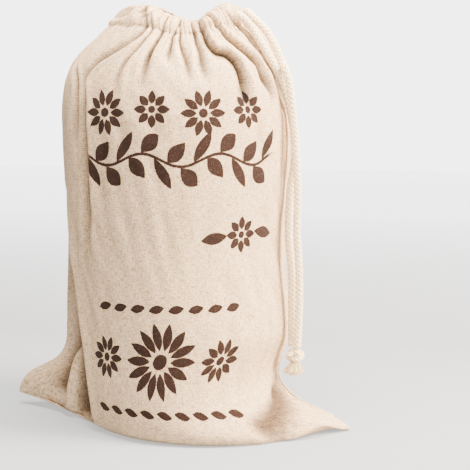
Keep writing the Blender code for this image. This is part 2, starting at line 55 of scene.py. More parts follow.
# The frame's origin in the tables' own millimetres: the middle of the two panels' box, on the ground
ORIGIN = np.array((-1.0, -7.75, 0.0))


class Side(Enum):
    """The two panels of the bag, by the way that they face."""

    FRONT = -1
    BACK = 1


@dataclass(frozen=True)
class Section:
    """One level slice of the filled bag, in mm from the middle: how far it reaches each way."""

    height: float
    left: float
    right: float
    front: float
    back: float
    left_seam: float
    left_seam_height: float
    right_seam: float
    right_seam_height: float
    left_sharp: float
    right_sharp: float


SECTIONS = (
    Section(0, 76, 88, 106, 92, 151.5, 10, 149.5, 0.9, 0.20, 0.80),
    Section(3, 78, 89, 111, 97, 150.5, 15, 146.5, 3.2, 0.20, 0.78),
    Section(9, 79, 86, 113, 99, 147, 22, 137, 9.5, 0.20, 0.66),
    Section(20, 80, 82, 112, 99, 139, 30, 116, 16.5, 0.20, 0.50),
    Section(32, 82, 79, 110, 98, 126, 37, 98, 25, 0.19, 0.34),
    Section(45, 84, 79, 108, 97, 113, 45, 88, 36, 0.17, 0.22),
    Section(58, 86, 83, 106, 96, 105.5, 56, 87, 47, 0.14, 0.14),
    Section(75, 88, 91, 104.5, 95, 103.5, 74, 93.6, 70, 0.12, 0.08),
    Section(95, 89.5, 91.5, 103, 94, 103, 95, 93.5, 94, 0.10, 0.06),
    Section(120, 91, 89, 101, 93, 102, 120, 91, 120, 0.09, 0.05),
    Section(150, 94, 87.5, 99, 92, 101, 150, 89.5, 150, 0.07, 0.05),
    Section(180, 97, 89, 98, 91, 101, 180, 91, 180, 0.06, 0.05),
    Section(210, 98.5, 91.5, 97, 90, 101.5, 210, 93.5, 210, 0.05, 0.05),
    Section(245, 100, 92.5, 94.5, 88.5, 102.5, 245, 94.5, 245, 0.05, 0.05),
    Section(270, 99.5, 91, 90.5, 85, 101.5, 270, 93, 270, 0.05, 0.05),
    Section(288, 96.5, 87.5, 84.5, 79.5, 98, 288, 89, 288, 0.05, 0.05),
    Section(302, 91, 82.5, 77, 72.5, 92.5, 302, 84, 302, 0.05, 0.05),
    Section(314, 82, 76.5, 68, 64.5, 83.5, 314, 78, 314, 0.05, 0.05),
    Section(324, 72, 70, 59.5, 56.5, 73.5, 324, 71, 324, 0.05, 0.05),
    Section(333, 62, 62.5, 52, 49.5, 63, 333, 63.5, 333, 0.05, 0.05),
    Section(341, 56, 55, 46.5, 43.5, 57, 341, 56, 341, 0.05, 0.05),
    Section(347, 50, 49, 41.5, 38.5, 51, 347, 50, 347, 0.05, 0.05),
    Section(351, 43, 43, 36, 33, 44, 351, 44, 351, 0.05, 0.05),
)


@dataclass(frozen=True)
class RimPlace:
    """How high the drawn rim stands at one place across the bag, in mm."""

    across: float
    front: float
    back: float


RIM = (
    RimPlace(-70, 344, 347),
    RimPlace(-45, 350, 350),
    RimPlace(-30, 351, 350),
    RimPlace(-18, 349, 346),
    RimPlace(-6, 343, 340),
    RimPlace(6, 338.5, 336),
    RimPlace(22, 338, 336),
    RimPlace(29, 344, 339),
    RimPlace(38, 350, 344),
    RimPlace(48, 351, 349),
    RimPlace(75, 347, 348),
)


@dataclass(frozen=True)
class Crease:
    """One fold of the cloth, from its top to its end.

    line holds places on the flat panel: mm across from the left seam, and mm above the ground. left_share
    is how many times wider the crease is on its left than on its right. sharp is 1 for a keen valley and 2
    for a round one.
    """

    line: tuple[tuple[float, float], ...]
    depth: float
    width: float
    left_ridge: float = 0.5
    right_ridge: float = 0.5
    left_share: float = 1.0
    top_fade: float = 3.0
    end_fade: float = 26.0
    spread: float = 0.9
    sharp: float = 1.35


FRONT_CREASES = (
    Crease(((11, 350), (13, 330), (12, 300), (11, 276)), 3.3, 2.5),
    Crease(((37, 350), (33, 330), (27, 300), (24, 268), (23, 250)), 4.5, 2.6, 0.7, 1.0, end_fade=34),
    Crease(((64, 350), (60, 330), (48, 304), (64, 290), (71, 273), (72, 249), (72, 226)), 4.8, 2.3, 0.6, 0.9,
           left_share=1.6, end_fade=46, spread=0.7),
    Crease(((99, 350), (118, 340), (123, 330), (114, 319), (101, 311), (88, 303), (80, 291), (83.5, 276),
            (86, 234), (87, 209), (88, 184), (86, 158), (86, 128)), 5.4, 2.5, 0.5, 1.4,
           left_share=2.2, end_fade=70, spread=0.5),
    Crease(((122, 346), (131, 330), (129, 318), (121, 303), (118, 292), (117, 268)), 4.5, 2.3, 0.6, 2.2,
           end_fade=30, spread=0.8),
    Crease(((147, 350), (144, 334), (143, 320), (142, 309), (142, 298), (140, 276)), 8.7, 2.3, 1.4, 0.9,
           end_fade=34, spread=1.0),
    Crease(((168, 350), (164, 341), (158, 331), (160, 321), (161, 312), (162, 300)), 6.6, 1.9, 0.5, 0.8,
           end_fade=16, spread=0.8),
    Crease(((170, 350), (169, 342), (167, 332), (170, 322), (175, 313), (180, 302), (183, 284)), 6.0, 2.0,
           0.6, 0.5, end_fade=22, spread=0.8),
    Crease(((186, 350), (186, 340), (187, 326), (192, 312), (194, 300), (197, 282)), 6.6, 2.8, 0.6, 0.5,
           end_fade=26, spread=0.8),
    Crease(((202, 350), (199, 341), (200, 322), (208, 312), (220, 309), (229, 302), (233, 292), (234, 276),
            (234, 258)), 9.9, 2.5, 0.3, 2.8, left_share=1.4, end_fade=34, spread=0.9),
    Crease(((216, 350), (217, 338), (222, 326), (233, 318), (246, 310), (255, 303), (259, 292), (268, 281),
            (274, 262)), 9.0, 2.6, 0.8, 2.0, end_fade=34, spread=1.2),
    Crease(((240, 350), (246, 338), (254, 328), (266, 311), (278, 294), (286, 276), (288, 258)), 6.6, 2.8,
           0.8, 0.9, spread=1.0),
    Crease(((263, 350), (268, 334), (280, 312), (289, 292), (294, 273), (296, 258)), 4.8, 2.6, 0.6, 0.5),
    Crease(((286, 350), (288, 330), (292, 305), (295, 286)), 2.7, 2.6, 0.4, 0.3),
)

# Folds of the filled body and of the two ears. The front's left side laps over a deep fold, with a ridge and
# a second fold between that and the ear.
BODY_CREASES = (
    Crease(((107, 262), (109, 226), (107.5, 202), (108.5, 178), (107.5, 148)), 0.9, 5.0, 0.2, 0.3,
           top_fade=24, end_fade=44, spread=0.3),
    Crease(((150, 296), (154, 262), (152, 226)), 0.7, 6.0, 0.3, 0.2, top_fade=18, end_fade=30),
    Crease(((172, 266), (174, 238), (173, 206)), 0.7, 6.0, 0.2, 0.2, top_fade=18, end_fade=26),
    Crease(((243, 276), (248, 246), (249, 206)), 0.9, 6.0, 0.3, 0.2, top_fade=18, end_fade=30),
    Crease(((30, 205), (36, 160), (43, 120), (53, 85), (59, 55), (61, 30), (60, 3)), 22.0, 5.0, 0.0, 0.0,
           left_share=4.4, top_fade=70, end_fade=0.5, spread=0.0, sharp=1.8),
    Crease(((42, 205), (48, 160), (55, 120), (64, 85), (69, 55), (71, 30), (70, 3)), -3.4, 6.5, 0.0, 0.0,
           top_fade=70, end_fade=0.5, spread=0.0, sharp=1.8),
    Crease(((44, 90), (36, 80), (23, 64), (17, 52), (17, 30), (19, 6)), 10.0, 5.0, 0.0, 0.0,
           top_fade=16, end_fade=12, spread=0.0, sharp=1.6),
    Crease(((50, 86), (42, 66), (30, 50), (28, 28), (28, 4)), -7.5, 6.5, 0.0, 0.0,
           top_fade=22, end_fade=0.5, spread=0.0, sharp=1.6),
    Crease(((296, 44), (293, 33), (284, 25), (270, 18), (256, 13), (243, 9), (224, 4)), 9.5, 6.5, 1.0, 2.2,
           top_fade=14, end_fade=22, spread=0.3, sharp=1.6),
)


@dataclass(frozen=True)
class BackGathers:
    """The rule that the back's gathers follow: evenly spread, each one swayed and varied a little."""

    count: int = 13
    margin: float = 15.0
    sway: float = 4.5
    drift: float = 7.0
    depth: float = 3.1
    width: float = 3.6
    ridge: float = 1.0
    end: float = 272.0

    def creases(self) -> tuple[Crease, ...]:
        """The back's gathers as creases.

        Returns:
            One crease for each gather, from left to right.
        """
        rows = []
        spacing = (BagForm.flat_width - 2 * self.margin) / (self.count - 1)
        for number in range(self.count):
            top = self.margin + number * spacing + self.sway * math.sin(2.3 * number + 0.8)
            drift = self.drift * math.sin(1.7 * number + 2.1)
            end = self.end + 16 * math.sin(4.1 * number + 1.2)
            heights = np.linspace(350, end, 6)
            line = tuple((top + drift * ((350 - h) / 65) ** 1.4, float(h)) for h in heights)
            depth = self.depth + math.sin(3.3 * number)
            width = self.width + 0.7 * math.sin(1.9 * number + 1.0)
            ridge = self.ridge + 0.4 * math.sin(2.9 * number + 0.5)
            rows.append(Crease(line, depth, width, ridge, 0.8 * ridge, end_fade=28))
        return tuple(rows)


def smooth_read(stops: Numbers, values: Numbers, where: Numbers) -> np.ndarray:
    """Reads a smooth curve (a cubic with averaged slopes) through values at stops.

    Args:
        stops: Rising places of the values.
        values: The values there.
        where: Places to read, of any shape.

    Returns:
        The read values, in the shape of where.
    """
    stops = np.asarray(stops, float)
    values = np.asarray(values, float)
    where = np.clip(np.asarray(where, float), stops[0], stops[-1])
    steps = np.diff(stops)
    rises = np.diff(values) / steps
    slopes = np.empty_like(values)
    slopes[0] = rises[0]
    slopes[-1] = rises[-1]
    slopes[1:-1] = (rises[:-1] * steps[1:] + rises[1:] * steps[:-1]) / (steps[:-1] + steps[1:])
    cell = np.clip(np.searchsorted(stops, where, side="right") - 1, 0, len(steps) - 1)
    length = steps[cell]
    t = (where - stops[cell]) / length
    start = values[cell] * (2 * t**3 - 3 * t**2 + 1) + slopes[cell] * length * (t**3 - 2 * t**2 + t)
    end = values[cell + 1] * (3 * t**2 - 2 * t**3) + slopes[cell + 1] * length * (t**3 - t**2)
    return start + end


def smooth_path(points: Numbers, spacing: float) -> np.ndarray:
    """Even points along a smooth curve through a route.

    Args:
        points: The route's own points.
        spacing: The wanted distance between points, in the route's units.

    Returns:
        The points, one row each.
    """
    points = np.asarray(points, float)
    stops = np.concatenate([[0.0], np.cumsum(np.linalg.norm(np.diff(points, axis=0), axis=1))])
    dense = np.linspace(0.0, stops[-1], 800)
    curve = np.stack([smooth_read(stops, points[:, axis], dense) for axis in range(points.shape[1])], axis=1)
    lengths = np.concatenate([[0.0], np.cumsum(np.linalg.norm(np.diff(curve, axis=0), axis=1))])
    places = np.linspace(0.0, lengths[-1], max(2, round(lengths[-1] / spacing) + 1))
    return np.stack([np.interp(places, lengths, curve[:, axis]) for axis in range(points.shape[1])], axis=1)


def ease(value: Numbers, start: Numbers, end: Numbers) -> np.ndarray:
    """0 at the start, 1 at the end, and smooth between them."""
    share = np.clip((np.asarray(value, float) - start) / (end - start), 0.0, 1.0)
    return share * share * (3 - 2 * share)


def bump(value: Numbers, centre: Numbers, width: Numbers) -> np.ndarray:
    """A soft bump of height 1 around a centre."""
    return np.exp(-(((np.asarray(value, float) - centre) / width) ** 2))


def crease_push(crease: Crease, flat: np.ndarray, height: np.ndarray) -> np.ndarray:
    """How far one crease pushes the cloth out, at places on the flat panel.

    Args:
        crease: The crease.
        flat: Places across the panel, in mm.
        height: Their heights, in mm.

    Returns:
        The push at each place, in mm, negative into the bag.
    """
    line = smooth_path(crease.line, 2.0)
    lengths = np.concatenate([[0.0], np.cumsum(np.linalg.norm(np.diff(line, axis=0), axis=1))])
    reach = 3.5 * crease.width * (1 + crease.spread) * crease.left_share
    near = (flat > line[:, 0].min() - reach) & (flat < line[:, 0].max() + reach)
    near &= (height > line[:, 1].min() - reach) & (height < line[:, 1].max() + reach)
    push = np.zeros_like(flat)
    if not near.any():
        return push
    places = np.stack([flat[near], height[near]], axis=1)
    starts = line[:-1]
    ways = np.diff(line, axis=0)
    span = (ways**2).sum(1)
    away = places[:, None, :] - starts[None]
    share = np.clip((away * ways[None]).sum(2) / span[None], 0.0, 1.0)
    rest = away - share[:, :, None] * ways[None]
    distance = np.linalg.norm(rest, axis=2)
    closest = distance.argmin(1)
    rows = np.arange(len(places))
    gone = lengths[closest] + share[rows, closest] * np.sqrt(span[closest])
    turn = ways[closest, 0] * rest[rows, closest, 1] - ways[closest, 1] * rest[rows, closest, 0]
    total = lengths[-1]
    width = crease.width * (1 + crease.spread * ease(gone, 0.35 * total, total))
    width = width * np.where(turn < 0, crease.left_share, 1.0)
    off = np.sign(turn) * distance[rows, closest] / width
    shape = -crease.depth * np.exp(-np.abs(off) ** crease.sharp)
    shape += crease.left_ridge * bump(off, -1.9, 1.1)
    shape += crease.right_ridge * bump(off, 1.9, 1.1)
    fade = ease(gone, -0.01, crease.top_fade) * (1 - ease(gone, total - crease.end_fade, total))
    push[near] = shape * fade
    return push


class BagForm:
    """The filled bag's form: two cut panels, sewn along the sides and the bottom, drawn up at the top."""

    flat_width = 305.0
    cloth = 1.2
    piece_gap = 0.3
    rim_height = 351.0
    gather_start = 246.0
    base_depth = 106.0
    ear_seam_shift = -16.0
    ear_seam_lean = -0.147
    body_seam_shift = -2.0
    seam_turn_height = 62.0
    roundness = 0.94
    back_ear_share = 0.55
    rim_reach = 66.0
    rim_curve = 1.6
    arch_lift = 8.0
    arch_centre = 0.30
    arch_width = 0.17
    arch_fade_height = 16.0
    lifted_ear_length = 52.0
    shoulder_lean = 0.7
    shoulder_start = 290.0
    seam_margin = 9.0
    ledge_step = 4.0
    # The fold depth, in mm, over which the painted shade in the folds grows.
    shade_depth = 3.6
    wrinkle_seed = 11

    def __init__(self) -> None:
        """Reads the sections' columns once, and settles the back's gathers."""
        self.heights = [row.height for row in SECTIONS]
        self.columns = {name: [getattr(row, name) for row in SECTIONS] for name in Section.__annotations__}
        self.creases = {
            Side.FRONT: FRONT_CREASES + BODY_CREASES,
            Side.BACK: BackGathers().creases(),
        }

    def section(self, name: str, height: Numbers) -> np.ndarray:
        """A section column's value at heights."""
        return smooth_read(self.heights, self.columns[name], height)

    def seam_plane(self, across: Numbers, height: Numbers) -> np.ndarray:
        """How far back the side seams' plane stands, at places across the bag and heights.

        Args:
            across: Places across the bag, in mm.
            height: Heights above the ground, in mm.

        Returns:
            The plane's Y in mm at each place.
        """
        near_ground = np.exp(-((height / self.seam_turn_height) ** 2))
        ear = self.ear_seam_shift + self.ear_seam_lean * across
        return ear * near_ground + self.body_seam_shift * (1 - near_ground)

    def wall(self, turn: np.ndarray, height: np.ndarray, side: Side) -> np.ndarray:
        """Points of the cloth's middle layer on the wall, without folds.

        Args:
            turn: 0 at the left seam to pi at the right seam.
            height: Nominal height in mm.
            side: Which panel.

        Returns:
            The points in mm, in the shape of turn with one more axis.
        """
        to_right = math.pi - turn
        left = self.section("left", height)
        right = self.section("right", height)
        left_pull = np.exp(-turn / self.section("left_sharp", height))
        share = self.back_ear_share if side is Side.BACK else 1.0
        right_pull = np.exp(-to_right / (share * self.section("right_sharp", height)))
        left_reach = self.section("left_seam", height) - left
        right_reach = self.section("right_seam", height) - right
        centre = (right - left) / 2
        half = (right + left) / 2
        across = centre - half * np.cos(turn) - left_reach * left_pull + right_reach * right_pull

        plane = self.seam_plane(across, height)
        room = self.cloth / 2 + self.piece_gap / 2
        reach_name = "front" if side is Side.FRONT else "back"
        depth = self.section(reach_name, height) - side.value * self.seam_plane(centre, height)
        back = plane + side.value * (room + (depth - room) * np.clip(np.sin(turn), 0, 1) ** self.roundness)

        up = height + (self.section("left_seam_height", height) - height) * left_pull
        up = up + (self.section("right_seam_height", height) - height) * right_pull
        if side is Side.FRONT:
            arch = bump(to_right, self.arch_centre, self.arch_width)
            up = up + self.arch_lift * arch * np.exp(-height / self.arch_fade_height)
        rim_heights = [row.front if side is Side.FRONT else row.back for row in RIM]
        rim = smooth_read([row.across for row in RIM], rim_heights, across)
        near_rim = np.clip(1 - (self.rim_height - height) / self.rim_reach, 0, 1) ** self.rim_curve
        up = up + (rim - self.rim_height) * near_rim
        return np.stack([across, back, up], axis=-1)

    def folds(self, flat: np.ndarray, height: np.ndarray, side: Side) -> np.ndarray:
        """How far folds, gathers and the casing push the cloth out, in mm.

        Args:
            flat: Places across the flat panel, in mm.
            height: Heights above the ground, in mm.
            side: The panel.

        Returns:
            The push at each place, in mm.
        """
        push = np.zeros_like(flat)
        for crease in self.creases[side]:
            push += crease_push(crease, flat, height)
        push += 1.1 * ease(height, 250, 345)
        push += self.casing(flat, height, side)
        push += self.wrinkles(flat, height, side)
        return push

    def valleys(self, turn: np.ndarray, height: np.ndarray, side: Side) -> np.ndarray:
        """How deep in a fold the cloth lies, from 0 on the open cloth to 1 at the bottom of a deep fold: the
        share of painted shade that the cloth's material lays there.

        Args:
            turn: Places round the wall, from 0 at the left seam to pi at the right.
            height: Heights above the ground, in mm.
            side: The panel.

        Returns:
            The share at each place.
        """
        flat = turn / math.pi * self.flat_width
        depth = np.maximum(-self.folds(flat, height, side), 0.0)
        return 1 - np.exp(-depth / self.shade_depth)

    def casing(self, flat: np.ndarray, height: np.ndarray, side: Side) -> np.ndarray:
        """The casing's roll over its stitch line, with the small pleats that the cord draws in it.

        Args:
            flat: Places across the flat panel, in mm.
            height: Heights above the ground, in mm.
            side: The panel.

        Returns:
            The push at each place, in mm.
        """
        line = self.stitch_height(flat)
        push = -1.6 * bump(height, line, 1.6)
        push += 1.3 * bump(height, line + 7.5, 4.6)
        draws = np.random.default_rng(self.wrinkle_seed + side.value)
        places = np.arange(4.0, self.flat_width, 6.8)
        places = places + draws.uniform(-2.2, 2.2, len(places))
        widths = draws.uniform(1.2, 1.9, len(places))
        depths = draws.uniform(1.2, 2.8, len(places))
        strength = ease(height, line - 16, line + 3)
        for place, width, depth in zip(places, widths, depths):
            push -= depth * bump(flat, place + 0.05 * (height - line), width) * strength
        if side is Side.FRONT:
            push -= self.ledge_step * ease(height, 337, 342.5) * (1 - ease(flat, 78, 92))
        return push

    def stitch_height(self, flat: Numbers) -> np.ndarray:
        """The height of the casing's stitch line across the flat panel."""
        flat = np.asarray(flat, float)
        return 334.0 + 1.2 * np.sin(flat / 23.0) + 0.8 * np.sin(flat / 9.5 + 1.0)

    def wrinkles(self, flat: np.ndarray, height: np.ndarray, side: Side) -> np.ndarray:
        """Small soft unevenness of handled cloth: long shallow waves, mostly upright.

        Args:
            flat: Places across the flat panel, in mm.
            height: Heights above the ground, in mm.
            side: The panel.

        Returns:
            The push at each place, in mm.
        """
        draws = np.random.default_rng(self.wrinkle_seed * 3 + side.value)
        push = np.zeros_like(flat)
        for _ in range(34):
            length = draws.uniform(14, 46)
            lean = draws.normal(0, 0.5)
            phase = draws.uniform(0, 2 * math.pi)
            wave = np.sin(2 * math.pi * (flat + lean * height) / length + phase)
            where = bump(flat, draws.uniform(0, 305), 42) * bump(height, draws.uniform(0, 340), 60)
            push += 0.34 * wave * where
        return push

    def cloth_points(self, turn: np.ndarray, height: np.ndarray, side: Side) -> np.ndarray:
        """Wall points with their folds, which stand square to the wall's course round the bag.

        Args:
            turn: Places round the wall, from 0 at the left seam to pi at the right.
            height: Heights above the ground, in mm.
            side: The panel.

        Returns:
            The points, in mm.
        """
        points = self.wall(turn, height, side)
        flat = turn / math.pi * self.flat_width
        push = self.folds(flat, height, side)
        push *= ease(np.minimum(flat, self.flat_width - flat), 0.0, self.seam_margin)
        step = 0.01
        before = self.wall(np.maximum(turn - step, 0), height, side)
        after = self.wall(np.minimum(turn + step, math.pi), height, side)
        along = after - before
        out = np.stack([along[..., 1], -along[..., 0], np.zeros_like(turn)], axis=-1) * -side.value
        out /= np.linalg.norm(out, axis=-1, keepdims=True)
        out[..., 2] += self.shoulder_lean * ease(height, self.shoulder_start, self.rim_height)
        out /= np.linalg.norm(out, axis=-1, keepdims=True)
        return points + out * push[..., None]

    def base_points(self, turn: np.ndarray, share: np.ndarray, side: Side) -> np.ndarray:
        """Points under the bag: share is 0 at the bottom seam and 1 at the wall's foot.

        Args:
            turn: Places round the wall, from 0 at the left seam to pi at the right.
            share: The share of the way from seam to wall.
            side: The panel.

        Returns:
            The points, in mm.
        """
        edge = self.cloth_points(turn, np.zeros_like(turn), side)
        left_tip = -self.columns["left_seam"][0]
        right_tip = self.columns["right_seam"][0]
        across = left_tip + (right_tip - left_tip) * np.sin(turn / 2) ** 2
        near_tip = ease(-across, -left_tip - self.lifted_ear_length, -left_tip)
        lift = self.columns["left_seam_height"][0] * near_tip
        back = self.seam_plane(across, 0.0) + side.value * self.piece_gap / 2
        seam = np.stack([across, back, lift], axis=-1)
        return seam + (edge - seam) * share[..., None]


def add_node(
    tree: Tree, kind: str, settings: dict | None = None, links: dict | None = None
) -> bpy.types.Node:
    """Adds a node to a tree.

    Args:
        tree: The node tree.
        kind: The node's type name.
        settings: Properties by name, or input values by number or input name.
        links: The sockets to link, by number or input name.

    Returns:
        The new node.
    """
    node = tree.nodes.new(kind)
    for name, value in (settings or {}).items():
        if isinstance(name, str) and hasattr(node, name):
            setattr(node, name, value)
        else:
            node.inputs[name].default_value = value
    for name, socket in (links or {}).items():
        tree.links.new(socket, node.inputs[name])
    return node


def linear(code: str) -> tuple[float, float, float, float]:
    """A linear colour from an sRGB hex code."""
    channels = [int(code[place : place + 2], 16) / 255 for place in (1, 3, 5)]
    return (*(c / 12.92 if c <= 0.04045 else ((c + 0.055) / 1.055) ** 2.4 for c in channels), 1.0)


def maths(tree: Tree, operation: str, *values: Socket | float) -> Socket:
    """Adds a math node.

    Args:
        tree: The node tree.
        operation: The node's operation.
        values: Its inputs in their order, each a socket or a number.

    Returns:
        The result's socket.
    """
    numbers = {place: value for place, value in enumerate(values) if not isinstance(value, Socket)}
    sockets = {place: value for place, value in enumerate(values) if isinstance(value, Socket)}
    settings = {"operation": operation, **numbers}
    return add_node(tree, "ShaderNodeMath", settings, sockets).outputs[0]


def new_material(name: str) -> tuple[bpy.types.Material, bpy.types.NodeTree, bpy.types.ShaderNode]:
    """A new node material.

    Args:
        name: The material's name.

    Returns:
        The material, its node tree and its Principled node.
    """
    material = bpy.data.materials.new(name)
    material.use_nodes = True
    return material, material.node_tree, material.node_tree.nodes["Principled BSDF"]


@dataclass(frozen=True)
class Linen:
    """Natural linen and cotton in plain weave, unbleached: matt, with slubs and darker flecks, and painted
    shade in its folds.
    """

    name: str
    light: str = "#e6cba9"
    body: str = "#c8a984"
    dark: str = "#8a6844"
    fleck: str = "#6f5138"
    # The colour of the painted shade in the folds.
    shade: str = "#402f22"
    # How strongly the painted shade darkens the bottoms of the folds.
    painted_fold_shade: float = 0.96
    thread_mm: float = 0.85
    yarn_length_mm: float = 4.6
    speckle_mm: float = 1.1
    slub_sizes_mm: tuple[tuple[float, float], ...] = ((1.0, 4.5), (4.0, 0.9))
    slub_marks: tuple[float, float, float] = (0.60, 0.72, 0.75)
    fleck_scale: float = 0.75
    fleck_marks: tuple[float, float, float] = (0.66, 0.76, 0.7)
    printed: bool = False
    ink: str = "#2a1a14"

    def build(self) -> bpy.types.Material:
        """The woven cloth's material, in the flat cloth's own millimetres.

        Returns:
            The material.
        """
        material, tree, shader = new_material(self.name)
        place = add_node(tree, "ShaderNodeUVMap", {"uv_map": "flat"})
        mm = add_node(
            tree, "ShaderNodeVectorMath", {"operation": "SCALE", "Scale": 1000.0}, {0: place.outputs[0]}
        )
        tone = self.threads(tree, mm.outputs[0])
        ramp = add_node(tree, "ShaderNodeValToRGB", {}, {0: tone})
        stops = ((0.0, self.dark), (0.45, self.body), (1.0, self.light))
        for number, (place_on_ramp, code) in enumerate(stops):
            element = ramp.color_ramp.elements[number] if number < 2 else ramp.color_ramp.elements.new(1.0)
            element.position = place_on_ramp
            element.color = linear(code)
        colour = ramp.outputs[0]
        # Slubs: short thick stretches of yarn, darker than the cloth, along both ways of the weave.
        for number, (across_mm, up_mm) in enumerate(self.slub_sizes_mm):
            settings = {
                "operation": "MULTIPLY_ADD", 1: (1 / across_mm, 1 / up_mm, 1), 2: (7.0 * number, 3.0, 0)
            }
            run = add_node(tree, "ShaderNodeVectorMath", settings, {0: mm.outputs[0]})
            colour = self.darker(tree, run.outputs[0], colour, self.slub_marks, self.dark)
        # Flecks: specks of bark and seed in the flax.
        speck = add_node(
            tree,
            "ShaderNodeVectorMath",
            {"operation": "SCALE", "Scale": self.fleck_scale},
            {0: mm.outputs[0]},
        )
        colour = self.darker(tree, speck.outputs[0], colour, self.fleck_marks, self.fleck)
        if self.printed:
            colour = PrintedDesign(self.ink).over(tree, mm.outputs[0], colour, tone)
        # Painted shade: the cloth darkens towards the bottoms of the folds, as far as the valley share says.
        valley = add_node(tree, "ShaderNodeAttribute", {"attribute_name": "valley"})
        share = maths(tree, "MULTIPLY", valley.outputs["Fac"], self.painted_fold_shade)
        mixed = add_node(
            tree,
            "ShaderNodeMix",
            {"data_type": "RGBA", "blend_type": "MULTIPLY", 7: linear(self.shade)},
            {0: share, 6: colour},
        )
        colour = mixed.outputs[2]
        relief = self.relief(tree, mm.outputs[0], tone)
        tree.links.new(colour, shader.inputs["Base Color"])
        tree.links.new(relief, shader.inputs["Normal"])
        shader.inputs["Roughness"].default_value = 0.92
        shader.inputs["Specular IOR Level"].default_value = 0.1
        shader.inputs["Sheen Weight"].default_value = 0.03
        shader.inputs["Sheen Roughness"].default_value = 0.5
        return material

    def threads(self, tree: Tree, mm: Socket) -> Socket:
        """The tone of the crossing threads, 0 to 1.

        Each thread is drawn at about 1.5 times its real 0.6 mm, which is too fine for the render.

        Args:
            tree: The material's node tree.
            mm: The socket of places on the flat panel, in mm.

        Returns:
            The tone's socket.
        """
        tones = []
        stretches = (
            (1 / self.thread_mm, 1 / self.yarn_length_mm, 1),
            (1 / self.yarn_length_mm, 1 / self.thread_mm, 1),
            (1 / self.speckle_mm, 1 / self.speckle_mm, 1),
        )
        for stretch in stretches:
            run = add_node(tree, "ShaderNodeVectorMath", {"operation": "MULTIPLY", 1: stretch}, {0: mm})
            tones.append(
                add_node(
                    tree, "ShaderNodeTexNoise", {"Scale": 1.0, "Detail": 2.0}, {"Vector": run.outputs[0]}
                ),
            )
        both = maths(tree, "ADD", tones[0].outputs[0], tones[1].outputs[0])
        total = maths(tree, "ADD", both, tones[2].outputs[0])
        spread = add_node(
            tree, "ShaderNodeMapRange", {"From Min": 1.05, "From Max": 1.95}, {"Value": total}
        )
        return spread.outputs[0]

    def darker(
        self, tree: Tree, place: Socket, colour: Socket, span: tuple[float, float, float], code: str
    ) -> Socket:
        """Lays darker marks over a colour, where noise is high.

        Args:
            tree: The material's node tree.
            place: The socket of the noise's places.
            colour: The colour socket to lay them over.
            span: The noise where a mark begins and where it is full, and its strength.
            code: The marks' colour.

        Returns:
            The mixed colour's socket.
        """
        low, high, strength = span
        noise = add_node(tree, "ShaderNodeTexNoise", {"Scale": 1.0, "Detail": 1.0}, {"Vector": place})
        share = add_node(tree, "ShaderNodeMapRange", {"From Min": low, "From Max": high, "To Max": strength},
                         {"Value": noise.outputs[0]})
        mixed = add_node(
            tree, "ShaderNodeMix", {"data_type": "RGBA", 7: linear(code)}, {0: share.outputs[0], 6: colour}
        )
        return mixed.outputs[2]

    def relief(self, tree: Tree, mm: Socket, tone: Socket) -> Socket:
        """The weave's relief: threads that pass over and under each other by turns.

        Args:
            tree: The material's node tree.
            mm: The socket of places on the flat panel, in mm.
            tone: The socket of the threads' tone.

        Returns:
            The bump's normal socket.
        """
        split = add_node(tree, "ShaderNodeSeparateXYZ", {}, {0: mm})
        waves = []
        for axis in (0, 1):
            angle = maths(tree, "MULTIPLY", split.outputs[axis], math.pi / self.thread_mm)
            waves.append(maths(tree, "SINE", angle))
        cross = maths(tree, "MULTIPLY", waves[0], waves[1])
        weave = maths(tree, "ABSOLUTE", cross)
        height = maths(tree, "MULTIPLY_ADD", tone, 1.4, weave)
        bumps = add_node(
            tree, "ShaderNodeBump", {"Strength": 0.35, "Distance": 0.2 * MM}, {"Height": height}
        )
        return bumps.outputs[0]


@dataclass(frozen=True)
class Leaf:
    """One printed leaf or petal, in mm on the flat panel: its middle, half length, half width and turn."""

    across: float
    up: float
    half_length: float
    half_width: float
    turn: float


@dataclass(frozen=True)
class LeafRow:
    """A row of one leaf, repeated at a pitch between two places across the panel.

    It follows a wave of the given length if it sways.
    """

    leaf: Leaf
    pitch: float
    start: float
    end: float
    sway: float = 0.0
    wave: float = 60.0


@dataclass(frozen=True)
class Flower:
    """One printed round flower, in mm on the flat panel: its middle, its reach and its petals."""

    across: float
    up: float
    reach: float
    petals: int


@dataclass(frozen=True)
class Vine:
    """The upper vine's wavy stem, in mm on the flat panel."""

    up: float = 333.0
    start: float = 90.0
    end: float = 262.0
    sway: float = 5.0
    wave: float = 64.0
    half_width: float = 1.3


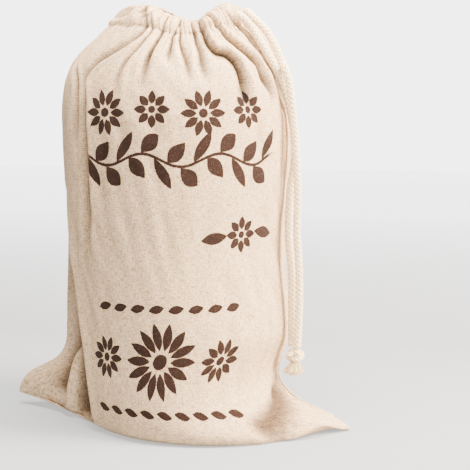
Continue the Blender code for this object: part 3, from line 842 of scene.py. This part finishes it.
@dataclass(frozen=True)
class PrintedDesign:
    """A plain garden print in one dark brown ink, screen printed, so the weave breaks it up a little."""

    ink: str
    vine: Vine = Vine()
    flowers: tuple[Flower, ...] = (
        Flower(110.0, 370.0, 19.0, 10),
        Flower(152.0, 373.0, 15.0, 8),
        Flower(194.0, 370.0, 19.0, 10),
        Flower(235.0, 372.0, 15.0, 8),
        Flower(232.0, 272.0, 15.0, 8),
        Flower(157.0, 172.0, 32.0, 14),
        Flower(102.0, 172.0, 18.0, 10),
        Flower(212.0, 172.0, 18.0, 10),
    )

    def leaf_rows(self) -> tuple[LeafRow, ...]:
        """The rows of leaves: two along the upper vine, and a border over and under the lower flowers.

        Returns:
            The rows.
        """
        vine = self.vine
        return (
            LeafRow(Leaf(0.0, vine.up + 10.0, 11.5, 5.6, 52), 21.5, 96.7, 268.7, vine.sway, vine.wave),
            LeafRow(Leaf(10.7, vine.up - 10.0, 11.5, 5.6, -52), 21.5, 85.9, 257.9, vine.sway, vine.wave),
            LeafRow(Leaf(0.0, 214.0, 7.2, 3.4, 12), 17.0, 93.5, 229.5),
            LeafRow(Leaf(8.5, 130.0, 7.2, 3.4, -12), 17.0, 85.0, 238.0),
        )

    def leaves(self) -> tuple[Leaf, ...]:
        """The leaves that stand by themselves, beside the small flower."""
        return (Leaf(206.0, 270.0, 12.0, 4.8, 8), Leaf(258.0, 272.0, 12.0, 4.8, -10))

    def over(self, tree: Tree, mm: Socket, colour: Socket, tone: Socket) -> Socket:
        """Lays the print over a colour.

        Args:
            tree: The material's node tree.
            mm: The socket of places on the flat panel, in mm.
            colour: The cloth's colour socket.
            tone: The socket of the threads' tone, which breaks the ink up.

        Returns:
            The printed colour's socket.
        """
        rough = add_node(tree, "ShaderNodeTexNoise", {"Scale": 0.9, "Detail": 2.0}, {"Vector": mm})
        place = add_node(tree, "ShaderNodeVectorMath", {"operation": "MULTIPLY_ADD", 1: (0.9, 0.9, 0)},
                         {0: rough.outputs[1], 2: mm})
        fields = [self.leaf_field(tree, place.outputs[0], leaf) for leaf in self.leaves()]
        fields += [self.row_field(tree, place.outputs[0], row) for row in self.leaf_rows()]
        fields += [self.flower_field(tree, place.outputs[0], flower) for flower in self.flowers]
        fields.append(self.vine_field(tree, place.outputs[0]))
        lowest = fields[0]
        for field in fields[1:]:
            lowest = maths(tree, "MINIMUM", lowest, field)
        inside = add_node(tree, "ShaderNodeMapRange", {"From Min": 1.04, "From Max": 0.96}, {"Value": lowest})
        worn = add_node(
            tree,
            "ShaderNodeMapRange",
            {"From Min": 1.0, "From Max": 0.55, "To Min": 0.95, "To Max": 1.0},
            {"Value": tone},
        )
        share = maths(tree, "MULTIPLY", inside.outputs[0], worn.outputs[0])
        mixed = add_node(tree, "ShaderNodeMix", {"data_type": "RGBA", 7: linear(self.ink)},
                         {0: share, 6: colour})
        return mixed.outputs[2]

    def leaf_field(self, tree: Tree, mm: Socket, leaf: Leaf) -> Socket:
        """A field that is under 1 inside a pointed leaf.

        Args:
            tree: The material's node tree.
            mm: The socket of places on the flat panel, in mm.
            leaf: The leaf's place and size.

        Returns:
            The field's socket.
        """
        settings = {
            "vector_type": "TEXTURE",
            "Location": (leaf.across, leaf.up, 0),
            "Rotation": (0, 0, math.radians(leaf.turn)),
            "Scale": (leaf.half_length, leaf.half_width, 1),
        }
        local = add_node(tree, "ShaderNodeMapping", settings, {"Vector": mm})
        split = add_node(tree, "ShaderNodeSeparateXYZ", {}, {0: local.outputs[0]})
        wide = maths(tree, "ABSOLUTE", split.outputs[1])
        leaf_shape = maths(tree, "MULTIPLY_ADD", split.outputs[0], split.outputs[0], wide)
        return leaf_shape

    def waved(self, tree: Tree, mm: Socket, sway: float, wave: float) -> tuple[Socket, Socket]:
        """Places with a sine wave's height taken off, so that a wavy row becomes a straight one.

        Args:
            tree: The material's node tree.
            mm: The socket of places on the flat panel, in mm.
            sway: The wave's height, in mm.
            wave: The wave's length, in mm.

        Returns:
            The sockets of the place across and of the height.
        """
        split = add_node(tree, "ShaderNodeSeparateXYZ", {}, {0: mm})
        angle = maths(tree, "MULTIPLY", split.outputs[0], 2 * math.pi / wave)
        sine = maths(tree, "SINE", angle)
        up = maths(tree, "MULTIPLY_ADD", sine, -sway, split.outputs[1])
        return split.outputs[0], up

    def ends(self, tree: Tree, across: Socket, start: float, end: float) -> Socket:
        """A field that is under 1 between two places across the panel.

        Args:
            tree: The material's node tree.
            across: The socket of the place across, in mm.
            start: Where the span starts, in mm.
            end: Where it ends, in mm.

        Returns:
            The field's socket.
        """
        off = maths(tree, "SUBTRACT", across, (start + end) / 2)
        span = maths(tree, "ABSOLUTE", off)
        return maths(tree, "DIVIDE", span, (end - start) / 2)

    def row_field(self, tree: Tree, mm: Socket, row: LeafRow) -> Socket:
        """A field that is under 1 inside the leaves of a row, which stand a pitch apart.

        Args:
            tree: The material's node tree.
            mm: The socket of places on the flat panel, in mm.
            row: The row of leaves.

        Returns:
            The field's socket.
        """
        across, up = self.waved(tree, mm, row.sway, row.wave)
        begin = row.leaf.across - row.pitch / 2
        wrapped = maths(tree, "WRAP", across, row.leaf.across + row.pitch / 2, begin)
        place = add_node(tree, "ShaderNodeCombineXYZ", {}, {0: wrapped, 1: up})
        leaf = self.leaf_field(tree, place.outputs[0], row.leaf)
        ends = self.ends(tree, across, row.start, row.end)
        return maths(tree, "MAXIMUM", leaf, ends)

    def flower_field(self, tree: Tree, mm: Socket, flower: Flower) -> Socket:
        """A field that is under 1 inside a round flower: a ring of petals round a small disc.

        Args:
            tree: The material's node tree.
            mm: The socket of places on the flat panel, in mm.
            flower: The flower's place and size.

        Returns:
            The field's socket.
        """
        local = add_node(
            tree, "ShaderNodeVectorMath", {"operation": "SUBTRACT", 1: (flower.across, flower.up, 0)}, {0: mm}
        )
        split = add_node(tree, "ShaderNodeSeparateXYZ", {}, {0: local.outputs[0]})
        angle = maths(tree, "ARCTAN2", split.outputs[1], split.outputs[0])
        fold = maths(tree, "PINGPONG", angle, math.pi / flower.petals)
        level = add_node(
            tree, "ShaderNodeVectorMath", {"operation": "MULTIPLY", 1: (1, 1, 0)}, {0: local.outputs[0]}
        )
        radius = add_node(tree, "ShaderNodeVectorMath", {"operation": "LENGTH"}, {0: level.outputs[0]})
        sine = maths(tree, "SINE", fold)
        across = maths(tree, "MULTIPLY", sine, radius.outputs[1])
        # A petal's middle stands at 0.64 of the flower's reach, and the petal is 0.36 of it to each end.
        half_width = 0.56 * math.pi * flower.reach / flower.petals
        wide = maths(tree, "DIVIDE", across, half_width)
        along = maths(tree, "MULTIPLY_ADD", radius.outputs[1], 1 / (0.36 * flower.reach), -0.64 / 0.36)
        petal = maths(tree, "MULTIPLY_ADD", along, along, wide)
        disc = maths(tree, "DIVIDE", radius.outputs[1], 0.20 * flower.reach)
        both = maths(tree, "MINIMUM", petal, disc)
        return both

    def vine_field(self, tree: Tree, mm: Socket) -> Socket:
        """A field that is under 1 inside the upper vine's wavy stem.

        Args:
            tree: The material's node tree.
            mm: The socket of places on the flat panel, in mm.

        Returns:
            The field's socket.
        """
        across, up = self.waved(tree, mm, self.vine.sway, self.vine.wave)
        off = maths(tree, "SUBTRACT", up, self.vine.up)
        near = maths(tree, "ABSOLUTE", off)
        thin = maths(tree, "DIVIDE", near, self.vine.half_width)
        ends = self.ends(tree, across, self.vine.start, self.vine.end)
        return maths(tree, "MAXIMUM", thin, ends)


@dataclass(frozen=True)
class CottonYarn:
    """Undyed cotton yarn, spun and braided: soft, matt and cream."""

    name: str
    light: str = "#f4e8d2"
    dark: str = "#cdb48c"
    fibre_mm: float = 0.35

    def build(self) -> bpy.types.Material:
        """The yarn's material: fine fibres that run along each yarn.

        Returns:
            The material.
        """
        material, tree, shader = new_material(self.name)
        place = add_node(tree, "ShaderNodeUVMap", {"uv_map": "flat"})
        mm = add_node(
            tree, "ShaderNodeVectorMath", {"operation": "SCALE", "Scale": 1000.0}, {0: place.outputs[0]}
        )
        run = add_node(
            tree,
            "ShaderNodeVectorMath",
            {"operation": "MULTIPLY", 1: (1 / self.fibre_mm, 1 / 3.0, 1)},
            {0: mm.outputs[0]},
        )
        fibre = add_node(
            tree, "ShaderNodeTexNoise", {"Scale": 1.0, "Detail": 3.0}, {"Vector": run.outputs[0]}
        )
        mixed = add_node(tree, "ShaderNodeMix", {"data_type": "RGBA"}, {0: fibre.outputs[0]})
        mixed.inputs[6].default_value = linear(self.dark)
        mixed.inputs[7].default_value = linear(self.light)
        relief = add_node(
            tree, "ShaderNodeBump", {"Strength": 0.5, "Distance": 0.2 * MM}, {"Height": fibre.outputs[0]}
        )
        tree.links.new(mixed.outputs[2], shader.inputs["Base Color"])
        tree.links.new(relief.outputs[0], shader.inputs["Normal"])
        shader.inputs["Roughness"].default_value = 0.88
        shader.inputs["Specular IOR Level"].default_value = 0.25
        shader.inputs["Sheen Weight"].default_value = 0.25
        return material


class Finishes:
    """Every material of the bag, made once."""

    def __init__(self) -> None:
        """Builds the materials."""
        self.front = Linen("printed natural linen", printed=True).build()
        self.back = Linen("natural linen").build()
        self.cord = CottonYarn("braided cotton", light="#f8e5c2", dark="#dcc090").build()
        self.yarn = CottonYarn("combed cotton yarn", light="#f4e0b0", dark="#d2b47c").build()
        self.thread = CottonYarn("cotton sewing thread", light="#e9dcc6", dark="#cbb597").build()


def framed(points: np.ndarray) -> np.ndarray:
    """Points of the tables, in mm, as places in the frame, in metres."""
    return (np.asarray(points, float) - ORIGIN) * MM


def link_object(name: str, mesh: bpy.types.Mesh, material: bpy.types.Material) -> bpy.types.Object:
    """Makes an object of a mesh with one material.

    Args:
        name: The object's name.
        mesh: The mesh.
        material: Its material.

    Returns:
        The object, linked into the scene.
    """
    mesh.materials.append(material)
    item = bpy.data.objects.new(name, mesh)
    bpy.context.scene.collection.objects.link(item)
    return item


class Panel:
    """One cut panel, as a sheet of two fine layers joined round its edges.

    Its UV map holds the flat cloth's own places.
    """

    wall_rows = 130
    columns = 316
    base_rows = 14

    def __init__(self, form: BagForm, side: Side, material: bpy.types.Material) -> None:
        """Builds the panel's mesh and object.

        Args:
            form: The bag's form.
            side: Which panel.
            material: Its finish.
        """
        self.form = form
        self.side = side
        self.item = self.build(material)

    def grid(self) -> tuple[np.ndarray, np.ndarray]:
        """The middle layer's points and their places on the flat panel, both as rows of columns.

        Returns:
            The points and the flat places, in mm.
        """
        form = self.form
        near = np.array((0.0, 0.006, 0.013))
        middle = np.linspace(0.02, 0.98, self.columns)
        share = np.concatenate([near, middle, (1 - near)[::-1]])
        turn = share * math.pi
        low = np.linspace(0, form.gather_start, int(self.wall_rows * 0.42))[:-1]
        high = np.linspace(form.gather_start, form.rim_height, self.wall_rows - len(low))
        heights = np.concatenate([low, high])
        wall_turn, wall_height = np.meshgrid(turn, heights)
        base_share = 1 - np.linspace(1, 0.0, self.base_rows + 1)[:-1] ** 1.3
        base_turn, base_part = np.meshgrid(turn, base_share)
        base = form.base_points(base_turn, base_part, self.side)
        wall = form.cloth_points(wall_turn, wall_height, self.side)
        base_flat = np.stack([base_turn / math.pi * form.flat_width, base_part * form.base_depth], axis=-1)
        wall_flat = np.stack([wall_turn / math.pi * form.flat_width, wall_height + form.base_depth], axis=-1)
        # The share of painted shade in the folds, for each point.
        self.valley = form.valleys(np.concatenate([base_turn, wall_turn]),
                                   np.concatenate([np.zeros_like(base_part), wall_height]), self.side)
        return np.concatenate([base, wall]), np.concatenate([base_flat, wall_flat])

    def build(self, material: bpy.types.Material) -> bpy.types.Object:
        """The panel's object.

        Args:
            material: Its material.

        Returns:
            The object.
        """
        form = self.form
        side = self.side.value
        points, flat = self.grid()
        points[..., 2] += form.cloth / 2
        rows, columns = points.shape[:2]
        along = np.gradient(points, axis=1)
        upward = np.gradient(points, axis=0)
        normals = np.cross(along, upward) * -side
        normals /= np.linalg.norm(normals, axis=-1, keepdims=True)
        for number in range(rows):
            turn = min(1.0, number / self.base_rows) * math.pi / 2
            edge = (0.0, side * math.sin(turn), -math.cos(turn))
            normals[number, 0] = edge
            normals[number, -1] = edge
        normals[0, 1:-1] = (0.0, 0.0, -1.0)

        rim = ease(
            flat[..., 1] - form.base_depth,
            form.stitch_height(flat[..., 0]) - 1.5,
            form.stitch_height(flat[..., 0]),
        )
        half = (form.cloth + 0.6 * rim)[..., None] / 2
        layers = [points + normals * half, points - normals * half]
        for layer, floor in zip(layers, (0.0, 0.8 * form.cloth)):
            plane = form.seam_plane(layer[..., 0], layer[..., 2])
            layer[..., 1] = plane + side * np.maximum(side * (layer[..., 1] - plane), form.piece_gap / 2)
            layer[..., 2] = np.maximum(layer[..., 2], floor)

        count = rows * columns
        vertices = framed(np.concatenate([layer.reshape(-1, 3) for layer in layers]))
        index = np.arange(count).reshape(rows, columns)
        quads = np.stack(
            [index[:-1, :-1], index[:-1, 1:], index[1:, 1:], index[1:, :-1]], axis=-1
        ).reshape(-1, 4)
        if side > 0:
            quads = quads[:, ::-1]
        border = np.concatenate([index[0, :-1], index[:-1, -1], index[-1, :0:-1], index[:0:-1, 0]])
        after = np.roll(border, -1)
        rim_quads = np.stack([after, border, border + count, after + count], axis=-1)
        if side > 0:
            rim_quads = rim_quads[:, ::-1]
        faces = np.concatenate([quads, quads[:, ::-1] + count, rim_quads])

        mesh = bpy.data.meshes.new(f"{self.side.name.lower()}_cloth")
        mesh.from_pydata(vertices.tolist(), [], faces.tolist())
        places = np.concatenate([flat.reshape(-1, 2)] * 2) * MM
        layer = mesh.uv_layers.new(name="flat")
        loops = np.empty(len(mesh.loops), int)
        mesh.loops.foreach_get("vertex_index", loops)
        layer.data.foreach_set("uv", places[loops].ravel())
        # The painted shade's share goes on the points of both layers, for the cloth's material.
        valley = mesh.attributes.new("valley", "FLOAT", "POINT")
        valley.data.foreach_set("value", np.tile(self.valley.ravel(), 2))
        mesh.shade_smooth()
        mesh.update()
        return link_object(f"{self.side.name.lower()}_cloth", mesh, material)


@dataclass(frozen=True)
class Tube:
    """A round tube's sizes in mm: its radius, the corners of its section, and how flat the section is."""

    radius: float
    corners: int = 6
    flatness: float = 1.0


class YarnMesh:
    """Collects tubes along paths into one mesh, with places along and round each tube as its UV map."""

    def __init__(self) -> None:
        """Starts an empty mesh."""
        self.vertices: list[np.ndarray] = []
        self.faces: list[tuple[int, ...]] = []
        self.places: list[np.ndarray] = []
        self.count = 0

    def add(
        self,
        path: np.ndarray,
        tube: Tube,
        taper: np.ndarray | None = None,
        outward: np.ndarray | None = None,
    ) -> None:
        """Adds one tube with closed ends.

        Args:
            path: Points of the middle line, in the tables' mm.
            tube: The tube's sizes.
            taper: The radius's share at each point, if it changes.
            outward: Directions that the flat section's thin way faces, if it isn't round.
        """
        steps = len(path)
        along = np.gradient(path, axis=0)
        along /= np.linalg.norm(along, axis=1, keepdims=True) + 1e-12
        if outward is None:
            outward = np.empty_like(path)
            ref = np.array((0.31, -0.55, 0.77))
            for number in range(steps):
                ref = ref - along[number] * ref.dot(along[number])
                length = np.linalg.norm(ref)
                if length < 1e-3:
                    ref = np.cross(along[number], (0.0, 1.0, 0.0))
                    length = np.linalg.norm(ref)
                ref = ref / length
                outward[number] = ref
        across = np.cross(along, outward)
        across /= np.linalg.norm(across, axis=1, keepdims=True) + 1e-12
        thin = np.cross(across, along)
        share = np.ones(steps) if taper is None else taper
        angles = np.arange(tube.corners) * 2 * math.pi / tube.corners
        ring = (across[:, None, :] * np.cos(angles)[None, :, None]
                + thin[:, None, :] * np.sin(angles)[None, :, None] * tube.flatness)
        points = path[:, None, :] + ring * (tube.radius * share)[:, None, None]
        lengths = np.concatenate([[0.0], np.cumsum(np.linalg.norm(np.diff(path, axis=0), axis=1))])
        around = np.arange(tube.corners) * 2 * math.pi * tube.radius / tube.corners
        self.vertices.append(points.reshape(-1, 3))
        places = np.stack(
            np.broadcast_arrays(around[None, :] + 7.3 * len(self.places), lengths[:, None]), axis=-1
        )
        self.places.append(places.reshape(-1, 2))
        start = self.count
        for step in range(steps - 1):
            low = start + step * tube.corners
            for corner in range(tube.corners):
                following = (corner + 1) % tube.corners
                self.faces.append(
                    (
                        low + corner,
                        low + following,
                        low + tube.corners + following,
                        low + tube.corners + corner,
                    ),
                )
        self.faces.append(tuple(start + corner for corner in reversed(range(tube.corners))))
        last = start + (steps - 1) * tube.corners
        self.faces.append(tuple(last + corner for corner in range(tube.corners)))
        self.count += steps * tube.corners

    def finish(self, name: str, material: bpy.types.Material) -> bpy.types.Object:
        """The collected tubes as one object.

        Args:
            name: The object's name.
            material: Its material.

        Returns:
            The object.
        """
        mesh = bpy.data.meshes.new(name)
        mesh.from_pydata(framed(np.concatenate(self.vertices)).tolist(), [], self.faces)
        layer = mesh.uv_layers.new(name="flat")
        loops = np.empty(len(mesh.loops), int)
        mesh.loops.foreach_get("vertex_index", loops)
        places = np.concatenate(self.places) * MM
        layer.data.foreach_set("uv", places[loops].ravel())
        mesh.shade_smooth()
        mesh.update()
        return link_object(name, mesh, material)


def braid(yarns: YarnMesh, path: np.ndarray, radius: float, strands: int, pitch: float) -> None:
    """Adds a round braid: half of its strands wind each way, over and under each other by turns.

    Args:
        yarns: The mesh to add to.
        path: The braid's even middle line, in mm.
        radius: The braid's outer radius, in mm.
        strands: How many strands wind each way.
        pitch: How far a strand goes along in one turn, in mm.
    """
    along = np.gradient(path, axis=0)
    along /= np.linalg.norm(along, axis=1, keepdims=True)
    side = np.empty_like(path)
    ref = np.array((0.0, -1.0, 0.1))
    for number in range(len(path)):
        ref = ref - along[number] * ref.dot(along[number])
        ref = ref / np.linalg.norm(ref)
        side[number] = ref
    up = np.cross(along, side)
    lengths = np.concatenate([[0.0], np.cumsum(np.linalg.norm(np.diff(path, axis=0), axis=1))])
    thick = 0.22 * radius
    width = 0.37 * radius * 4 / strands
    yarns.add(path, Tube(0.66 * radius, 10))
    for way in (-1, 1):
        for number in range(strands):
            angle = way * 2 * math.pi * lengths / pitch + 2 * math.pi * number / strands
            weave = way * np.cos(2 * math.pi * strands * lengths / pitch)
            out = side * np.cos(angle)[:, None] + up * np.sin(angle)[:, None]
            reach = radius - thick + 0.12 * radius * weave
            yarns.add(path + out * reach[:, None], Tube(width, 6, thick / width), outward=out)


class Drawstring:
    """The drawstring's two free ends, their knot and its frayed tassel."""

    diameter = 6.4
    step = 1.1
    strand_routes = {
        "drawstring_strand_a": (
            (52.3, -32.0, 343.1), (57.6, -31.5, 340.5), (62.2, -30.5, 335.8), (71.3, -31.0, 322.4),
            (79.6, -29.5, 308.3), (83.5, -27.3, 301.1), (86.6, -22.9, 293.7), (89.5, -20.7, 286.4),
            (95.5, -18.5, 264.5), (99.9, -18.0, 230.5), (96.1, -18.0, 196.1), (94.7, -18.5, 161.7),
            (97.6, -19.5, 129.7), (98.3, -21.0, 95.9), (98.6, -22.3, 66.4),
        ),
        "drawstring_strand_b": (
            (57.7, -19.5, 347.0), (62.3, -18.5, 342.3), (73.2, -19.5, 332.4), (82.1, -21.5, 319.3),
            (89.4, -24.0, 303.7), (93.0, -26.9, 296.9), (95.2, -27.7, 289.7), (98.7, -27.0, 264.9),
            (101.7, -26.5, 231.1), (103.3, -26.0, 197.0), (102.9, -26.0, 162.8), (104.8, -26.5, 130.9),
            (105.0, -27.2, 97.2), (104.0, -28.4, 66.4),
        ),
    }
    knot_centre = np.array((101.6, -26.3, 59.3))
    knot_size = np.array((15.5, 12.5, 12.6))
    tassel_top = np.array((101.4, -27.6, 53.9))
    tassel_yarns = 150
    tassel_seed = 5

    def __init__(self, finishes: Finishes) -> None:
        """Builds the strands, the knot and the tassel.

        Args:
            finishes: The materials, by name.
        """
        self.knot = self.build_knot(finishes.cord)
        self.tassel = self.build_tassel(finishes.yarn)
        self.strands = {
            name: self.build_strand(name, route, finishes.cord) for name, route in self.strand_routes.items()
        }

    def build_strand(self, name: str, route: Numbers, material: bpy.types.Material) -> bpy.types.Object:
        """One braided free end.

        Args:
            name: The CAD node that it stands for.
            route: Its route's points, in mm.
            material: The cord's finish.

        Returns:
            The strand's object.
        """
        path = smooth_path(route, self.step)
        yarns = YarnMesh()
        braid(yarns, path, self.diameter / 2, 4, 16.0)
        item = yarns.finish(name.replace("drawstring", "braided"), material)
        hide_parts(name)
        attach(item, "root")
        return item

    def knot_path(self) -> np.ndarray:
        """The tight overhand knot's middle line: a trefoil, in mm.

        Returns:
            The path's points.
        """
        angle = np.linspace(0, 2 * math.pi, 161)
        reach = 2 + np.cos(3 * angle)
        path = np.stack(
            [reach * np.cos(2 * angle), 1.6 * np.sin(3 * angle), reach * np.sin(2 * angle)], axis=1
        )
        return path / 3

    def build_knot(self, material: bpy.types.Material) -> bpy.types.Object:
        """The overhand knot, of the same braid drawn tight.

        Args:
            material: Its material.

        Returns:
            The object.
        """
        path = self.knot_path()
        tilt = np.array(Matrix.Rotation(math.radians(20), 3, "Y"))
        path = path @ tilt.T
        inner = (self.knot_size / 2 - 2.35) / np.abs(path).max(0)
        path = path * inner + self.knot_centre
        yarns = YarnMesh()
        braid(yarns, path, 2.5, 4, 11.0)
        item = yarns.finish("tied_knot", material)
        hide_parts("drawstring_knot")
        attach(item, "root")
        return item

    def build_tassel(self, material: bpy.types.Material) -> bpy.types.Object:
        """The combed-out ends: curly yarns that fan out under the knot.

        Args:
            material: Its material.

        Returns:
            The object.
        """
        draws = np.random.default_rng(self.tassel_seed)
        yarns = YarnMesh()
        for _ in range(self.tassel_yarns):
            round_about = draws.uniform(0, 2 * math.pi)
            out = math.sqrt(draws.uniform(0.02, 1.0))
            way = np.array((math.cos(round_about) * 1.0, math.sin(round_about) * 0.75, 0.0))
            root = self.tassel_top + way * out * 3.4
            length = draws.uniform(9.5, 14.5) * (1.0 - 0.25 * out)
            steps = 12
            share = np.linspace(0, 1, steps)
            curl = draws.uniform(0.25, 0.75)
            turns = draws.uniform(1.0, 2.4)
            phase = draws.uniform(0, 2 * math.pi)
            spread = out * draws.uniform(4.0, 7.2)
            path = root + way * (spread * share**1.3)[:, None]
            path[:, 2] -= length * share * (1 - 0.12 * out * share)
            path[:, 0] += curl * np.sin(2 * math.pi * turns * share + phase) * share
            path[:, 1] += curl * np.cos(2 * math.pi * turns * share + phase) * share
            path[:, 0] -= 1.2 * share**2
            yarns.add(path, Tube(draws.uniform(0.34, 0.5), 5), taper=1 - 0.45 * share**2)
        item = yarns.finish("frayed_tassel", material)
        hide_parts("drawstring_tassel")
        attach(item, "root")
        return item


class Sewing:
    """The stitch rows that show: along the casing on both panels."""

    stitch_length = 2.4
    stitch_gap = 0.9
    thread = Tube(0.26, 5)

    def __init__(self, form: BagForm, finishes: Finishes) -> None:
        """Sews the casing's row on both panels."""
        self.form = form
        self.rows = [self.casing_row(side, finishes.thread) for side in Side]

    def casing_row(self, side: Side, material: bpy.types.Material) -> bpy.types.Object:
        """One row of lockstitches along the casing's lower edge.

        Args:
            side: The panel.
            material: Its material.

        Returns:
            The object.
        """
        form = self.form
        yarns = YarnMesh()
        pitch = self.stitch_length + self.stitch_gap
        for number in range(int((form.flat_width - 12) / pitch)):
            start = 6 + number * pitch
            flat = np.linspace(start, start + self.stitch_length, 5)
            height = form.stitch_height(flat)
            points = form.cloth_points(flat / form.flat_width * math.pi, height, side)
            before = form.cloth_points((flat - 0.6) / form.flat_width * math.pi, height, side)
            after = form.cloth_points((flat + 0.6) / form.flat_width * math.pi, height, side)
            below = form.cloth_points(flat / form.flat_width * math.pi, height - 0.6, side)
            above = form.cloth_points(flat / form.flat_width * math.pi, height + 0.6, side)
            normal = np.cross(after - before, above - below) * -side.value
            normal /= np.linalg.norm(normal, axis=1, keepdims=True)
            points[:, 2] += form.cloth / 2
            sink = np.array((-0.25, 0.12, 0.2, 0.12, -0.25))
            yarns.add(points + normal * (form.cloth / 2 + sink)[:, None], self.thread)
        item = yarns.finish(f"{side.name.lower()}_casing_stitches", material)
        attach(item, "root")
        return item


@dataclass(frozen=True)
class PhotoCamera:
    """The camera at the photograph's place, height and angle."""

    image_px: float = 470.0
    focal_px: float = 1470.0
    sensor_mm: float = 36.0
    azimuth: float = 12.0
    turn: float = 2.06
    pitch: float = 7.25
    distance: float = 1.258
    height: float = 0.3155

    def place(self) -> None:
        """Makes the camera and makes it the scene's own."""
        data = bpy.data.cameras.new("photo_camera")
        data.sensor_width = self.sensor_mm
        data.lens = self.sensor_mm * self.focal_px / self.image_px
        data.clip_start = 0.05
        item = bpy.data.objects.new("photo_camera", data)
        bpy.context.scene.collection.objects.link(item)
        azimuth = math.radians(self.azimuth)
        axis = framed(np.zeros(3))
        item.location = (
            axis[0] + self.distance * math.sin(azimuth),
            axis[1] - self.distance * math.cos(azimuth),
            self.height,
        )
        item.rotation_euler = (math.radians(90 - self.pitch), 0.0, math.radians(self.azimuth - self.turn))
        bpy.context.scene.camera = item


class Studio:
    """A floor made pale by a painted glow, and soft light, brightest from the front right."""

    def __init__(self) -> None:
        """Builds the floor, the lights and the world."""
        self.floor()
        self.backdrop()
        self.world()
        self.area("key", (1.16, -0.12, 0.74), (0.0, 0.0, 0.17), 0.7, 132.0, "#fff0dc")
        self.area("top", (0.1, -0.1, 1.05), (0.0, 0.0, 0.2), 0.7, 66.0, "#fff6ec")
        self.area("fill", (0.45, -1.9, 0.55), (0.0, 0.0, 0.17), 1.0, 36.0, "#ffffff")

    def floor(self) -> None:
        """A matt grey floor that glows as painted light."""
        mesh = bpy.data.meshes.new("floor")
        low = -0.0003
        mesh.from_pydata([(-6, -6, low), (6, -6, low), (6, 6, low), (-6, 6, low)], [], [(0, 1, 2, 3)])
        material, tree, shader = new_material("grey paper with painted glow")
        shader.inputs["Base Color"].default_value = linear("#85878b")
        shader.inputs["Roughness"].default_value = 0.9
        shader.inputs["Emission Color"].default_value = linear("#ffffff")
        # Painted light: the floor glows, more and more towards the wall behind the bag.
        place = add_node(tree, "ShaderNodeNewGeometry")
        split = add_node(tree, "ShaderNodeSeparateXYZ", {}, {0: place.outputs["Position"]})
        glow = add_node(
            tree,
            "ShaderNodeMapRange",
            {"From Min": 0.35, "From Max": 1.6, "To Min": 0.6, "To Max": 3.6},
            {"Value": split.outputs[1]},
        )
        tree.links.new(glow.outputs[0], shader.inputs["Emission Strength"])
        link_object("floor", mesh, material)

    def backdrop(self) -> None:
        """A lit white wall behind the bag."""
        mesh = bpy.data.meshes.new("backdrop")
        mesh.from_pydata(
            [(-1.5, 2.6, 0), (0.8, 2.6, 0), (0.8, 2.6, 0.8), (-1.5, 2.6, 0.8)], [], [(0, 1, 2, 3)]
        )
        material, _, shader = new_material("lit white paper")
        shader.inputs["Base Color"].default_value = (0.0, 0.0, 0.0, 1.0)
        shader.inputs["Specular IOR Level"].default_value = 0.0
        shader.inputs["Emission Color"].default_value = linear("#ffffff")
        shader.inputs["Emission Strength"].default_value = 5.0
        link_object("backdrop", mesh, material)

    def world(self) -> None:
        """Even light from all round."""
        world = bpy.data.worlds.new("studio")
        world.use_nodes = True
        back = world.node_tree.nodes["Background"]
        back.inputs[0].default_value = linear("#fbfbff")
        back.inputs[1].default_value = 0.06
        bpy.context.scene.world = world

    def area(self, name: str, place: Place, target: Place, size: float, power: float, code: str) -> None:
        """One soft square light.

        Args:
            name: Its name.
            place: Where it stands, in metres.
            target: What it faces.
            size: Its side, in metres.
            power: Its power, in watts.
            code: Its colour.
        """
        data = bpy.data.lights.new(name, "AREA")
        data.color = linear(code)[:3]
        data.size = size
        data.energy = power
        item = bpy.data.objects.new(name, data)
        item.location = place
        item.rotation_euler = (Vector(target) - Vector(place)).to_track_quat("-Z", "Y").to_euler()
        bpy.context.scene.collection.objects.link(item)


def main() -> None:
    """Builds the bag, its drawstring and the studio in order."""
    logging.basicConfig(level=logging.INFO, format="%(name)s: %(message)s")
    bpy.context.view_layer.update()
    finishes = Finishes()
    PhotoCamera().place()
    drawstring = Drawstring(finishes)
    log.info(
        "drawstring: %s, %s, %s", drawstring.knot.name, drawstring.tassel.name, ", ".join(drawstring.strands)
    )
    form = BagForm()
    sewing = Sewing(form, finishes)
    cloths = {
        side: Panel(form, side, finishes.front if side is Side.FRONT else finishes.back) for side in Side
    }
    for side, cloth in cloths.items():
        node = f"{side.name.lower()}_panel"
        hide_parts(node)
        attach(cloth.item, "root")
        log.info("%s: %d faces", cloth.item.name, len(cloth.item.data.polygons))
    Studio()


if __name__ == "__main__":
    main()
